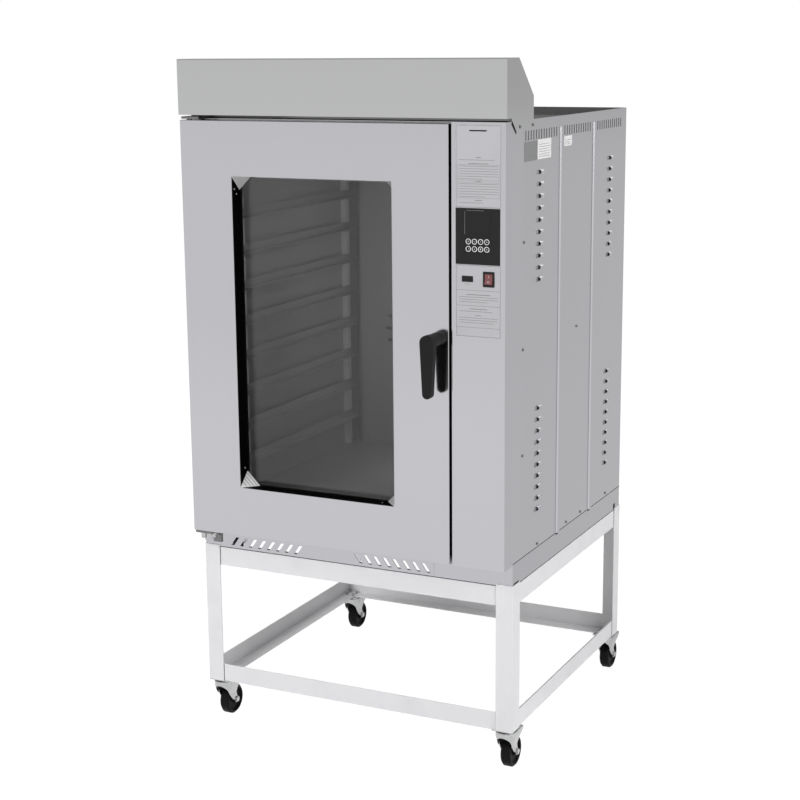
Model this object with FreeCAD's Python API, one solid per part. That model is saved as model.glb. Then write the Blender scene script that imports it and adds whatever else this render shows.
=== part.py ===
import FreeCAD, Part
import math
import os

# Tray convection oven with one glazed door, on a castered stand.
# Millimetres. +Z up, front towards -Y, floor at Z = 0, origin at the middle of the overall width and depth.

# Stand, in angle iron
stand_height = 446.0
leg_flange = 54.0
leg_sheet = 3.0
leg_lap = 6.0
leg_bend = 4.0
upper_rail_height = 59.0
upper_rail_flange = 40.0
lower_rail_height = 56.0
lower_rail_flange = 50.0
rail_sheet = 3.0

# Casters
caster_height = 136.0
caster_inset = 34.0
caster_trail = 40.0
caster_plate_side = 66.0
caster_plate_sheet = 3.0
caster_bolt_spacing = 28.0
caster_bolt_radius = 4.0
caster_bolt_head = 6.0
caster_bolt_across = 13.0
race_radius = 29.0
race_height = 7.0
race_taper = 2.0
kingpin_radius = 6.0
kingpin_head_radius = 10.0
kingpin_head = 3.0
fork_sheet = 3.0
fork_head_radius = 31.0
fork_head_height = 15.0
fork_back = 62.0
fork_back_drop = 7.0
fork_lean_rise = 26.0
fork_arch_margin = 1.0
fork_arch_rise = 2.0
fork_belly_along = 0.42
fork_belly_up = 0.40
fork_waist_inset = 1.0
fork_waist_up = 0.62
axle_radius = 5.0
axle_end = 4.0
axle_nut_radius = 8.5
axle_boss_radius = 11.0
wheel_radius = 48.0
wheel_width = 32.0
wheel_shoulder = 5.0
wheel_hub_radius = 15.0
wheel_hub_taper = 3.0
wheel_rim = 13.0
wheel_dish = 6.0
wheel_gap = 2.0
wheel_hub_gap = 0.5

# Cabinet
body_width = 1040.0
body_depth = 1017.0
base_set_back = 65.0
base_height = 71.0
base_sheet = 2.0
base_flange = 36.0
cabinet_height = 1260.0
sheet = 1.5
bend = 4.0
roof_recess = 25.0

# Slanted air slots in the base front
slot_count = 8
slot_pitch = 32.1
slot_width = 10.5
slot_rise = 27.0
slot_lean = 19.0
slot_height = 24.5
slot_group_left = 107.5
slot_group_right = 540.0
base_seam = 790.0
base_seam_width = 1.2

# Side panels; the places of ribs and louvres are shares of the cabinet's depth and height,
# and each row of vents has a first gap, a last gap and a count
column_return = 125.0
rib_width = 26.0
rib_height = 4.0
rib_places = (0.4061, 0.6893)
vent_height = 27.0
vent_width = 7.0
vent_pitch = 20.0
vent_drop = 57.0
vent_rows = ((16.0, 25.0, 13), (10.0, 25.0, 12), (11.0, 52.0, 12))
louvre_length = 56.0
louvre_radius = 7.0
louvre_hood = 34.0
louvre_nose = 9.0
louvre_nose_radius = 6.0
louvre_tail_radius = 2.0
louvre_facets = 5
louvre_pitch = 34.0
louvre_count = 10
louvre_columns = (0.2242, 0.8220)
louvre_rows = (0.0944, 0.6381)
band_height = 29.0
band_groove = 2.0
band_groove_depth = 0.7

# Header hood
header_height = 161.0
header_gap = 9.0
header_sheet = 2.0
header_end_sheet = 3.0
header_top_depth = 86.0
header_depth = 195.0
header_slope_drop = 105.0
header_tab_drop = 26.0
header_tab_start = 66.0
header_tab_slit = 30.0
header_bend = 4.0

# Door
door_thickness = 58.0
door_drop = 4.0
door_bend = 2.0
door_roof_gap = 6.0
column_gap = 7.0
window_left = 173.0
window_right = 175.0
window_bottom = 154.0
window_top = 161.0
pane_thickness = 4.0
pane_gap = 2.5
pane_lap = 12.0
gusset_leg = 42.0
gusset_sheet = 1.5
gasket_depth = 7.7
gasket_width = 18.0
gasket_margin = 12.0
seal_clearance = 0.3
door_wool_margin = 45.0
door_wool_right = 90.0

# Door hinges
hinge_inset = 16.0
hinge_set_back = 30.0
hinge_plate = 7.0
hinge_gap = 3.0
hinge_plate_width = 60.0
hinge_plate_front = 9.0
hinge_pin_radius = 8.0
hinge_pin_reach = 22.0
hinge_pin_tail = 20.0
hinge_flange_drop = 40.0
hinge_flange_sheet = 5.0
hinge_stud_radius = 9.0
hinge_stud_inset = 13.5
bush_wall = 4.0
bush_length = 25.0

# Handle and latch
handle_reach = 63.0
handle_from_edge = 42.0
handle_height = 657.0
lever_length = 160.0
lever_thickness = 24.0
lever_top_radius = 21.5
lever_tip_radius = 14.0
lever_round = 4.0
neck_radius = 20.0
neck_clearance = 0.4
spindle_radius = 8.0
spindle_depth = 40.0
tongue_reach = 45.0
tongue_half = 7.0
tongue_thickness = 8.0
tongue_set_back = 25.0
tongue_gap = 2.0
keeper_nose = 2.5
keeper_radius = 9.0
keeper_set_back = 8.0
keeper_height = 26.0

# Controls on the column
column_width = 163.0
keypad_inset = 15.0
keypad_far_inset = 16.0
keypad_rise = 872.0
keypad_height = 155.0
control_plate = 2.0
key_columns = 4
key_rows = 2
key_pitch = 18.4
key_row_pitch = 20.5
key_first = 38.4
key_low = 43.0
key_radius = 8.3
key_gap = 0.4
key_depth = 4.0
key_proud = 0.2
key_stem_radius = 2.8
key_stem_gap = 1.0
key_margin = 3.0
board_width = 110.0
board_height = 130.0
board_sheet = 1.6
board_stand_off = 9.0
board_post_radius = 4.0
port_inset = 33.6
port_width = 32.6
port_height = 16.5
port_border = 5.5
port_rise = 823.0
rocker_frame_inset = 97.0
rocker_frame_width = 33.5
rocker_frame_height = 43.0
rocker_frame_rise = 811.0
rocker_width = 22.0
rocker_height = 29.0
rocker_gap = 0.6
rocker_depth = 10.0
rocker_proud = 2.0
rocker_dip = 2.0
rocker_root = 4.0
rocker_keel = 6.0
rocker_tilt = 7.0

# Front frame and oven chamber
frame_sheet = 4.0
chamber_margin = 120.0
chamber_floor_rise = 113.0
chamber_head_room = 175.0
service_depth = 124.0
chamber_sheet = 1.5
wool_thickness = 50.0
wool_back = 38.0

# Tray rack
tray_levels = 8
tray_first = 96.0
tray_head_room = 120.0
post_side = 20.0
post_front = 30.0
post_back = 15.0
post_over = 60.0
runner_flange = 28.0
runner_height = 25.0
runner_sheet = 2.0
runner_inset = 10.0

# Fan, fan guard and motor
plenum_depth = 78.0
guard_sheet = 2.0
guard_side_gap = 52.0
guard_post_radius = 6.0
guard_post_inset = 30.0
fan_rise = 409.0
intake_radius = 165.0
intake_slot = 11.0
intake_pitch = 41.0
intake_bridge = 22.0
fan_radius = 180.0
fan_depth = 48.0
fan_clearance = 12.0
fan_blades = 12
fan_blade_sheet = 3.0
fan_blade_root = 95.0
fan_disc = 2.0
fan_hub_radius = 22.0
shaft_radius = 8.0
shaft_hole_radius = 11.0
running_clearance = 0.05
motor_radius = 75.0
motor_length = 72.0
motor_flange = 6.0
motor_flange_radius = 95.0
motor_fin_count = 18
motor_fin_depth = 4.0
motor_fin_width = 9.0
motor_bore = 45.0

# Burner, gas valve and flue
burner_radius = 18.0
burner_length = 650.0
burner_rise = 50.0
burner_flange_radius = 30.0
burner_flange = 4.0
burner_wall = 2.0
burner_slot_width = 4.0
burner_slot_length = 22.0
burner_slot_pitch = 40.0
gas_pipe_radius = 8.0
gas_pipe_length = 60.0
valve_side = 60.0
inlet_radius = 10.5
inlet_reach = 28.0
inlet_nut = 8.0
inlet_nut_across = 30.0
inlet_hole_gap = 1.0
flue_radius = 50.0
flue_wall = 1.5
flue_reach = 40.0
flue_flange = 70.0
flue_flange_sheet = 2.0
flue_rise = 62.0

# Planes that the pieces share
left = -body_width / 2
right = body_width / 2
overall_depth = handle_reach + body_depth + leg_sheet - caster_inset + caster_trail + wheel_radius
face = handle_reach - overall_depth / 2
rear = face + body_depth
base_front = face + base_set_back
stand_top = caster_height + stand_height
base_top = stand_top + base_height
roof = base_top + cabinet_height
column_left = right - column_width
door_right = column_left - column_gap
door_bottom = base_top - door_drop
door_top = roof - door_roof_gap
door_back = face + door_thickness
frame_front = door_back + gasket_depth + seal_clearance
frame_back = frame_front + frame_sheet
frame_top = door_top + hinge_gap
panel_front = face + column_return
chamber_left = left + chamber_margin
chamber_right = door_right - chamber_margin
chamber_middle = (chamber_left + chamber_right) / 2
chamber_bottom = base_top + chamber_floor_rise
chamber_top = roof - chamber_head_room
chamber_front = frame_back
chamber_back = rear - service_depth
wool_rear = chamber_back + chamber_sheet + wool_back
guard_front = chamber_back - plenum_depth
guard_back = guard_front + guard_sheet
fan_height = chamber_bottom + fan_rise
window_x0 = left + window_left
window_x1 = door_right - window_right
window_z0 = door_bottom + window_bottom
window_z1 = door_top - window_top
liner_front = door_back - sheet
reveal_back = liner_front - 2 * pane_thickness - pane_gap
hinge_x = left + hinge_inset
hinge_y = face + hinge_set_back
handle_x = door_right - handle_from_edge
handle_z = door_bottom + handle_height
keypad_x0 = column_left + keypad_inset
keypad_width = column_width - keypad_inset - keypad_far_inset
keypad_z0 = base_top + keypad_rise
burner_height = base_top + burner_rise
flue_height = chamber_top + flue_rise
tray_pitch = (chamber_top - chamber_bottom - tray_first - tray_head_room) / (tray_levels - 1)
swivel_places = {
    "front_left": (left - leg_sheet + caster_inset, base_front - leg_sheet + caster_inset),
    "front_right": (right + leg_sheet - caster_inset, base_front - leg_sheet + caster_inset),
    "rear_left": (left - leg_sheet + caster_inset, rear + leg_sheet - caster_inset),
    "rear_right": (right + leg_sheet - caster_inset, rear + leg_sheet - caster_inset),
}


def point(x, y, z):
    return FreeCAD.Vector(x, y, z)


AXIS_X = point(1, 0, 0)
AXIS_Y = point(0, 1, 0)
AXIS_Z = point(0, 0, 1)


def box(x0, x1, y0, y1, z0, z1):
    return Part.makeBox(x1 - x0, y1 - y0, z1 - z0, point(x0, y0, z0))


def rod(start, axis, radius, length):
    return Part.makeCylinder(radius, length, start, axis)


def prism(corners, along):
    wire = Part.makePolygon(corners + corners[:1])
    return Part.Face(wire).extrude(along)


def cut_all(solid, tools):
    return solid.cut(Part.makeCompound(tools))


def mirror_x(shape):
    return shape.mirror(point(0, 0, 0), AXIS_X)


def round_edges(solid, radius, picked):
    """Round the edges whose middle point is picked."""
    edges = [edge for edge in solid.Edges if picked(edge.CenterOfMass)]
    return solid.makeFillet(radius, edges)


def near(value, target):
    return abs(value - target) < 0.01


# Stand

def stand_legs():
    legs = []
    low = caster_height
    high = stand_top + leg_lap
    for side in (-1, 1):
        for corner_y, inward in ((base_front - leg_sheet, 1), (rear + leg_sheet, -1)):
            corner_x = side * (right + leg_sheet)
            outline = [
                (0, 0), (leg_flange, 0), (leg_flange, leg_sheet),
                (leg_sheet, leg_sheet), (leg_sheet, leg_flange), (0, leg_flange),
            ]
            corners = [point(corner_x - side * a, corner_y + inward * b, low) for a, b in outline]
            leg = prism(corners, point(0, 0, high - low))
            legs.append(round_edges(leg, leg_bend, lambda c: near(c.x, corner_x) and near(c.y, corner_y)))
    return Part.makeCompound(legs)


def rail_ring(low, high, flange, flange_low):
    """Front, rear, left and right angle rails; the flange lies at flange_low and points inwards."""
    flange_high = flange_low + rail_sheet
    rails = []
    for wall_y0, flange_y0 in ((base_front, base_front), (rear - rail_sheet, rear - flange)):
        web = box(left, right, wall_y0, wall_y0 + rail_sheet, low, high)
        shelf = box(left, right, flange_y0, flange_y0 + flange, flange_low, flange_high)
        rails.append(web.fuse(shelf).removeSplitter())
    for wall_x0, flange_x0 in ((left, left), (right - rail_sheet, right - flange)):
        web = box(wall_x0, wall_x0 + rail_sheet, base_front + rail_sheet, rear - rail_sheet, low, high)
        web_relief = box(left, right, base_front, rear, flange_low, flange_high)
        shelf = box(flange_x0, flange_x0 + flange, base_front + flange, rear - flange,
                    flange_low, flange_high)
        rails.append(web.cut(web_relief).fuse(shelf).removeSplitter())
    return rails


def stand_upper_rails():
    low = stand_top - upper_rail_height
    return Part.makeCompound(rail_ring(low, stand_top, upper_rail_flange, stand_top - rail_sheet))


def bolt_places(swivel):
    half = caster_bolt_spacing / 2
    return [(swivel[0] + i * half, swivel[1] + j * half) for i in (-1, 1) for j in (-1, 1)]


def bolt_holes(low, high):
    holes = []
    for swivel in swivel_places.values():
        for x, y in bolt_places(swivel):
            holes.append(rod(point(x, y, low), AXIS_Z, caster_bolt_radius, high - low))
    return Part.makeCompound(holes)


def stand_lower_rails():
    holes = bolt_holes(caster_height - 1, caster_height + rail_sheet + 1)
    rails = rail_ring(caster_height, caster_height + lower_rail_height, lower_rail_flange, caster_height)
    return Part.makeCompound([rail.cut(holes) for rail in rails[:2]] + rails[2:])


def hexagon(x, y, z, across, height):
    radius = across / math.sqrt(3)
    turns = [math.radians(60 * i) for i in range(6)]
    corners = [point(x + radius * math.cos(t), y + radius * math.sin(t), z) for t in turns]
    return prism(corners, point(0, 0, height))


def caster_bolts():
    bolts = []
    seat = caster_height + rail_sheet
    shank_low = caster_height - caster_plate_sheet
    for swivel in swivel_places.values():
        for x, y in bolt_places(swivel):
            shank = rod(point(x, y, shank_low), AXIS_Z, caster_bolt_radius, seat - shank_low)
            head = hexagon(x, y, seat, caster_bolt_across, caster_bolt_head)
            bolts.append(head.fuse(shank).removeSplitter())
    return Part.makeCompound(bolts)


# Casters

plate_low = caster_height - caster_plate_sheet
crown_top = plate_low - race_height - seal_clearance
crown_low = crown_top - fork_sheet
head_low = crown_top - fork_head_height
fork_half = wheel_width / 2 + wheel_gap
axle_half = fork_half + fork_sheet
lean_low = wheel_radius + fork_lean_rise


def caster_plates():
    plates = []
    holes = bolt_holes(plate_low - 1, caster_height + 1)
    half = caster_plate_side / 2
    pin_low = crown_low - seal_clearance - kingpin_head
    for x, y in swivel_places.values():
        plate = box(x - half, x + half, y - half, y + half, plate_low, caster_height).cut(holes)
        race_start = point(x, y, plate_low - race_height)
        race = Part.makeCone(race_radius, race_radius - race_taper, race_height, race_start, AXIS_Z)
        pin = rod(point(x, y, pin_low), AXIS_Z, kingpin_radius, plate_low - pin_low)
        head = rod(point(x, y, pin_low), AXIS_Z, kingpin_head_radius, kingpin_head)
        plates.append(plate.fuse(race).fuse(pin).fuse(head).removeSplitter())
    return Part.makeCompound(plates)


def fork_side(x, y):
    """The fork seen from the side, as wide as its head: it sweeps back from the head to the axle."""
    x0 = x - fork_head_radius
    axle_y = y + caster_trail
    axle_z = wheel_radius
    back = y + fork_back
    crown_front = point(x0, y, crown_top)
    crown_back = point(x0, back, crown_top)
    back_low = point(x0, back, crown_top - fork_back_drop)
    waist_z = axle_z + fork_waist_up * (back_low.z - axle_z)
    waist = point(x0, axle_y - fork_waist_inset, waist_z)
    heel = point(x0, axle_y + axle_boss_radius, axle_z)
    toe = point(x0, axle_y - axle_boss_radius, axle_z)
    below = point(x0, axle_y, axle_z - axle_boss_radius)
    lip = point(x0, y, lean_low)
    belly_y = y + fork_belly_along * (caster_trail - axle_boss_radius)
    belly = point(x0, belly_y, axle_z + fork_belly_up * fork_lean_rise)
    edges = [
        Part.LineSegment(crown_front, crown_back).toShape(),
        Part.LineSegment(crown_back, back_low).toShape(),
        Part.Arc(back_low, waist, heel).toShape(),
        Part.Arc(heel, below, toe).toShape(),
        Part.Arc(toe, belly, lip).toShape(),
        Part.LineSegment(lip, crown_front).toShape(),
    ]
    return Part.Face(Part.Wire(edges)).extrude(point(2 * fork_head_radius, 0, 0))


def fork_walls(x, y):
    """Section across the fork, an upturned U whose sides lean in towards the axle, drawn back."""
    foot = wheel_radius - 2 * axle_boss_radius
    outer = [(fork_head_radius, crown_top), (fork_head_radius, head_low), (axle_half, lean_low), (axle_half, foot)]
    inner = [(a - fork_sheet, z) for a, z in reversed(outer[1:])] + [(fork_head_radius - fork_sheet, crown_low)]
    half = outer + inner
    outline = half + [(-a, z) for a, z in reversed(half)]
    return prism([point(x + a, y, z) for a, z in outline], point(0, fork_back, 0))


def fork_head(x, y):
    """Round cup over the race; it is open at the back, where the fork's walls start."""
    inner = fork_head_radius - fork_sheet
    cup = rod(point(x, y, head_low), AXIS_Z, fork_head_radius, fork_head_height)
    room = rod(point(x, y, head_low), AXIS_Z, inner, crown_low - head_low)
    way_back = box(x - inner, x + inner, y, y + fork_head_radius, head_low, crown_low)
    return cup.cut(room).cut(way_back)


def fork_skirt(x, y):
    """Front of the fork under its head: half a cone that leans in with the walls."""
    low = point(x, y, lean_low)
    lean = head_low - lean_low
    outer = Part.makeCone(axle_half, fork_head_radius, lean, low, AXIS_Z)
    inner = Part.makeCone(axle_half - fork_sheet, fork_head_radius - fork_sheet, lean, low, AXIS_Z)
    reach = fork_head_radius
    behind = box(x - reach, x + reach, y, y + reach, lean_low, head_low)
    return outer.cut(inner).cut(behind)


def fork_arch(x, y):
    """Room for the wheel in the front of the fork, round at its top."""
    half = axle_half + fork_arch_margin
    front = y - fork_head_radius
    middle = head_low + fork_arch_rise - half
    top = rod(point(x, front, middle), AXIS_Y, half, fork_head_radius)
    return top.fuse(box(x - half, x + half, front, y, lean_low - 1, middle))


def caster_fork(place):
    x, y = swivel_places[place]
    walls = fork_walls(x, y).common(fork_side(x, y))
    front = fork_head(x, y).fuse(fork_skirt(x, y)).cut(fork_arch(x, y))
    pin_hole = rod(point(x, y, crown_low - 1), AXIS_Z, kingpin_radius + running_clearance, fork_sheet + 2)
    axle_start = point(x - axle_half - axle_end, y + caster_trail, wheel_radius)
    axle_length = 2 * (axle_half + axle_end)
    axle = rod(axle_start, AXIS_X, axle_radius, axle_length)
    fork = front.fuse(walls).cut(pin_hole).cut(axle).removeSplitter()
    nut = rod(axle_start, AXIS_X, axle_nut_radius, axle_end)
    far_nut = rod(point(x + axle_half, y + caster_trail, wheel_radius), AXIS_X, axle_nut_radius, axle_end)
    return Part.makeCompound([fork, axle.fuse(nut).fuse(far_nut).removeSplitter()])


def caster_wheel(place):
    x, y = swivel_places[place]
    half = wheel_width / 2
    hub_half = fork_half - wheel_hub_gap
    bore = axle_radius + running_clearance
    rim_inner = wheel_radius - wheel_rim
    section = [
        (hub_half, bore),
        (hub_half, wheel_hub_radius - wheel_hub_taper),
        (half - wheel_dish, wheel_hub_radius),
        (half - wheel_dish, rim_inner),
        (half, rim_inner + wheel_hub_taper),
        (half, wheel_radius - wheel_shoulder),
        (half - wheel_shoulder, wheel_radius),
    ]
    outline = section + [(-a, r) for a, r in reversed(section)]
    axle_y = y + caster_trail
    corners = [point(x + a, axle_y, wheel_radius + r) for a, r in outline]
    wire = Part.makePolygon(corners + corners[:1])
    return Part.Face(wire).revolve(point(x, axle_y, wheel_radius), AXIS_X, 360)


# Cabinet

def slanted_slot(x, lean):
    """One parallelogram slot through the base front, leaning right for +1 and left for -1."""
    z0 = stand_top + slot_height - slot_rise / 2
    z1 = z0 + slot_rise
    shift = lean * slot_lean / 2
    half = slot_width / 2
    corners = [
        point(x - shift - half, base_front - 1, z0), point(x - shift + half, base_front - 1, z0),
        point(x + shift + half, base_front - 1, z1), point(x + shift - half, base_front - 1, z1),
    ]
    return prism(corners, point(0, base_sheet + 2, 0))


def base_pan():
    """Open skirt under the cabinet, with a flange all round that lies on the stand's rails."""
    outer = box(left, right, base_front, rear, stand_top, base_top)
    inner = box(left + base_sheet, right - base_sheet, base_front + base_sheet, rear - base_sheet,
                stand_top + base_sheet, base_top + 1)
    floor_hole = box(left + base_flange, right - base_flange, base_front + base_flange, rear - base_flange,
                     stand_top - 1, base_top)
    openings = [inner, floor_hole]
    for i in range(slot_count):
        openings.append(slanted_slot(left + slot_group_left + i * slot_pitch, 1))
        openings.append(slanted_slot(left + slot_group_right + i * slot_pitch, -1))
    seam = left + base_seam
    openings.append(box(seam, seam + base_seam_width, base_front - 1, base_front + base_sheet / 2,
                        stand_top + leg_lap, base_top - door_drop))
    return cut_all(outer, openings)


def scoop_form(z, sections):
    """Half-round form on the right panel, lofted through (depth, radius) sections with flat facets."""
    turns = [math.pi * i / louvre_facets for i in range(louvre_facets + 1)]
    wires = []
    for along, radius in sections:
        corners = [point(right + radius * math.sin(t), along, z + radius * math.cos(t)) for t in turns]
        wires.append(Part.makePolygon(corners + corners[:1]))
    return Part.makeLoft(wires, True, True)


def louvre_scoop(y, z):
    """Hollow scoop with its mouth towards the front and a tapered, closed tail."""
    mouth = y + louvre_length - louvre_hood
    tail = y + louvre_length
    nose = tail - louvre_nose
    outer = scoop_form(z, [(mouth, louvre_radius), (nose, louvre_nose_radius), (tail, louvre_tail_radius)])
    inner = scoop_form(z, [(mouth, louvre_radius - sheet), (nose, louvre_nose_radius - sheet),
                           (tail - 2 * sheet, louvre_tail_radius)])
    return outer.cut(inner)


def louvre_slot(y, z):
    half = louvre_radius - sheet
    return box(right - 2 * sheet, right, y, y + louvre_length - louvre_nose, z - half, z + half)


def rib_form(x, y, top):
    """Ridge that stands out from the given plane, with sloped sides; it is open at the panel's lower edge."""
    crest = x + rib_height
    corners = [(x, y), (crest, y + rib_height), (crest, y + rib_width - rib_height), (x, y + rib_width)]
    return prism([point(a, b, base_top) for a, b in corners], point(0, 0, top - base_top))


def side_panel(front):
    """Right-hand side panel that starts at the given depth; the left one is its mirror image."""
    panel = box(right - sheet, right, front, rear, base_top, roof)
    rib_top = roof - band_height - band_groove
    added = []
    holes = []
    ribs = [face + place * body_depth for place in rib_places]
    for y in ribs:
        added.append(rib_form(right, y, rib_top))
        holes.append(rib_form(right - sheet, y, rib_top - sheet))
    for along in louvre_columns:
        for rise in louvre_rows:
            for i in range(louvre_count):
                y = face + along * body_depth
                z = base_top + rise * cabinet_height + i * louvre_pitch
                added.append(louvre_scoop(y, z))
                holes.append(louvre_slot(y, z))
    bays = ((panel_front, ribs[0]), (ribs[0] + rib_width, ribs[1]), (ribs[1] + rib_width, rear))
    vent_low = roof - vent_drop
    for (start, end), (first_gap, last_gap, count) in zip(bays, vent_rows):
        pitch = (end - last_gap - vent_width - start - first_gap) / (count - 1)
        for i in range(count):
            y = start + first_gap + i * pitch
            holes.append(box(right - 2 * sheet, right + sheet, y, y + vent_width,
                             vent_low, vent_low + vent_height))
    holes.append(box(right - band_groove_depth, right + 1, panel_front, rear + 1,
                     rib_top, rib_top + band_groove))
    return panel.fuse(added).cut(Part.makeCompound(holes)).removeSplitter()


def side_panel_right():
    return side_panel(panel_front)


def side_panel_left():
    return mirror_x(side_panel(frame_back))


def rear_panel():
    panel = box(left + sheet, right - sheet, rear - sheet, rear, base_top, roof)
    gas_start = point(chamber_middle, rear - 2 * sheet, burner_height)
    flue_start = point(chamber_middle, rear - 2 * sheet, flue_height)
    holes = [
        rod(gas_start, AXIS_Y, gas_pipe_radius + inlet_hole_gap, 4 * sheet),
        rod(flue_start, AXIS_Y, flue_radius - flue_wall, 4 * sheet),
    ]
    for z in (fan_height - motor_radius, fan_height + motor_radius):
        for i in range(slot_count):
            x = chamber_middle + (i - (slot_count - 1) / 2) * vent_pitch
            holes.append(box(x - vent_width / 2, x + vent_width / 2, rear - 2 * sheet, rear + sheet,
                             z - vent_height / 2, z + vent_height / 2))
    return cut_all(panel, holes)


def roof_panel():
    outer = box(left + sheet, right - sheet, frame_back, rear - sheet, roof - roof_recess, roof)
    inner = box(left + 2 * sheet, right - 2 * sheet, frame_back + sheet, rear - 2 * sheet,
                roof - roof_recess + sheet, roof + 1)
    return outer.cut(inner)


def header_hood():
    low = roof + header_gap
    top = low + header_height
    back = face + header_depth
    ridge = face + header_top_depth
    knee = top - header_slope_drop
    slope = math.hypot(back - ridge, header_slope_drop)
    shift = header_sheet * (slope - (back - ridge)) / header_slope_drop
    lift = header_sheet * (slope - header_slope_drop) / (back - ridge)
    outer = [(face, low), (face, top), (ridge, top), (back, knee), (back, roof)]
    inner_back = back - header_sheet
    inner_top = top - header_sheet
    inner_face = face + header_sheet
    inner = [(inner_back, roof), (inner_back, knee - lift), (ridge - shift, inner_top),
             (inner_face, inner_top), (inner_face, low)]
    corners = [point(left, y, z) for y, z in outer + inner]
    cover = prism(corners, point(body_width, 0, 0))
    tab = roof - header_tab_drop
    swing = hinge_set_back + math.hypot(hinge_inset, hinge_set_back) + hinge_gap
    ends = ((left - header_end_sheet, swing, swing), (right, header_tab_slit, header_tab_start))
    for x0, slit, tab_start in ends:
        end = [(face, low), (face, top), (ridge, top), (back, knee), (back, tab),
               (face + tab_start, tab), (face + slit, low)]
        cover = cover.fuse(prism([point(x0, y, z) for y, z in end], point(header_end_sheet, 0, 0)))
    cover = cover.removeSplitter()
    return round_edges(cover, header_bend, lambda c: near(c.x, 0) and near(c.y, face) and near(c.z, top))


def control_column():
    low = base_top - door_drop
    outer = box(column_left, right, face, panel_front, low, roof)
    outer = round_edges(outer, bend, lambda c: near(c.y, face) and near(c.z, (low + roof) / 2))
    room_low = low + sheet
    room_top = roof + bend
    inside = face + sheet
    room = box(column_left + sheet, right - sheet, inside, panel_front + bend, room_low, room_top)
    middle = (room_low + room_top) / 2
    room = round_edges(room, bend - sheet, lambda c: near(c.y, inside) and near(c.z, middle))
    short_side = box(column_left - 1, right - sheet, frame_front, panel_front + 1, low - 1, roof + 1)
    column = outer.cut(room).cut(short_side)
    margin = key_radius + key_gap + key_margin
    keys_x0 = keypad_x0 + key_first - margin
    keys_x1 = keypad_x0 + key_first + (key_columns - 1) * key_pitch + margin
    keys_z0 = keypad_z0 + key_low - margin
    keys_z1 = keypad_z0 + key_low + (key_rows - 1) * key_row_pitch + margin
    rocker_x0 = column_left + rocker_frame_inset + sheet
    rocker_z0 = base_top + rocker_frame_rise + sheet
    base_room = box(left, right, base_front, rear, stand_top, base_top)
    cut_outs = [
        box(keys_x0, keys_x1, face - 1, face + 2 * sheet, keys_z0, keys_z1),
        box(rocker_x0, rocker_x0 + rocker_frame_width - 2 * sheet, face - 1, face + 2 * sheet,
            rocker_z0, rocker_z0 + rocker_frame_height - 2 * sheet),
        base_room,
    ]
    return cut_all(column, cut_outs).removeSplitter()


# Controls

def key_centres():
    for row in range(key_rows):
        for column in range(key_columns):
            x = keypad_x0 + key_first + column * key_pitch
            z = keypad_z0 + key_low + (key_rows - 1 - row) * key_row_pitch
            yield x, z


def keypad_panel():
    panel = box(keypad_x0, keypad_x0 + keypad_width, face - control_plate, face,
                keypad_z0, keypad_z0 + keypad_height)
    holes = [rod(point(x, face - control_plate - 1, z), AXIS_Y, key_radius + key_gap, control_plate + 2)
             for x, z in key_centres()]
    return cut_all(panel, holes)


def key(x, z):
    cap_start = face - control_plate - key_proud
    cap = rod(point(x, cap_start, z), AXIS_Y, key_radius, key_depth)
    stem_start = cap_start + key_depth
    stem_end = face + sheet + board_stand_off - key_stem_gap
    stem = rod(point(x, stem_start, z), AXIS_Y, key_stem_radius, stem_end - stem_start)
    return cap.fuse(stem).removeSplitter()


def port_cover():
    x0 = column_left + port_inset
    z0 = base_top + port_rise
    cover = box(x0, x0 + port_width, face - control_plate, face, z0, z0 + port_height)
    groove = box(x0 + port_border, x0 + port_width - port_border,
                 face - control_plate, face - control_plate / 2,
                 z0 + port_border, z0 + port_height - port_border)
    return cover.cut(groove)


def rocker_centre():
    return (column_left + rocker_frame_inset + rocker_frame_width / 2,
            base_top + rocker_frame_rise + rocker_frame_height / 2)


def rocker_frame():
    x, z = rocker_centre()
    half_w = rocker_frame_width / 2
    half_h = rocker_frame_height / 2
    bezel = box(x - half_w, x + half_w, face - control_plate, face, z - half_h, z + half_h)
    inner_w = half_w - 2 * sheet
    inner_h = half_h - 2 * sheet
    shell = box(x - inner_w, x + inner_w, face, face + rocker_depth + 2 * sheet, z - inner_h, z + inner_h)
    hole_w = rocker_width / 2 + rocker_gap
    hole_h = rocker_height / 2 + 2 * rocker_gap
    hole = box(x - hole_w, x + hole_w, face - control_plate - 1, face + rocker_depth + sheet,
               z - hole_h, z + hole_h)
    return bezel.fuse(shell).cut(hole).removeSplitter()


def rocker_switch():
    x, z = rocker_centre()
    half_w = rocker_width / 2
    half_h = rocker_height / 2
    proud = face - control_plate - rocker_proud
    root = face + rocker_root
    outline = [(proud, z - half_h), (proud + rocker_dip, z), (proud, z + half_h),
               (root, z + half_h), (face + rocker_keel, z), (root, z - half_h)]
    rocker = prism([point(x - half_w, y, h) for y, h in outline], point(rocker_width, 0, 0))
    rocker.rotate(point(x, face, z), AXIS_X, -rocker_tilt)
    return rocker


def controller_board():
    x0 = keypad_x0 + (keypad_width - board_width) / 2
    z0 = keypad_z0 + (keypad_height - board_height) / 2
    y0 = face + sheet + board_stand_off
    board = box(x0, x0 + board_width, y0, y0 + board_sheet, z0, z0 + board_height)
    inset = 2 * board_post_radius
    for x in (x0 + inset, x0 + board_width - inset):
        for z in (z0 + inset, z0 + board_height - inset):
            board = board.fuse(rod(point(x, face + sheet, z), AXIS_Y, board_post_radius, board_stand_off))
    return board.removeSplitter()


# Front frame and oven chamber

def front_frame():
    strips = [
        box(left, chamber_left, frame_front, frame_back, base_top, frame_top),
        box(chamber_right, column_left, frame_front, frame_back, base_top, frame_top),
        box(chamber_left, chamber_right, frame_front, frame_back, base_top, chamber_bottom),
        box(chamber_left, chamber_right, frame_front, frame_back, chamber_top, frame_top),
    ]
    return Part.makeCompound(strips)


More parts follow.
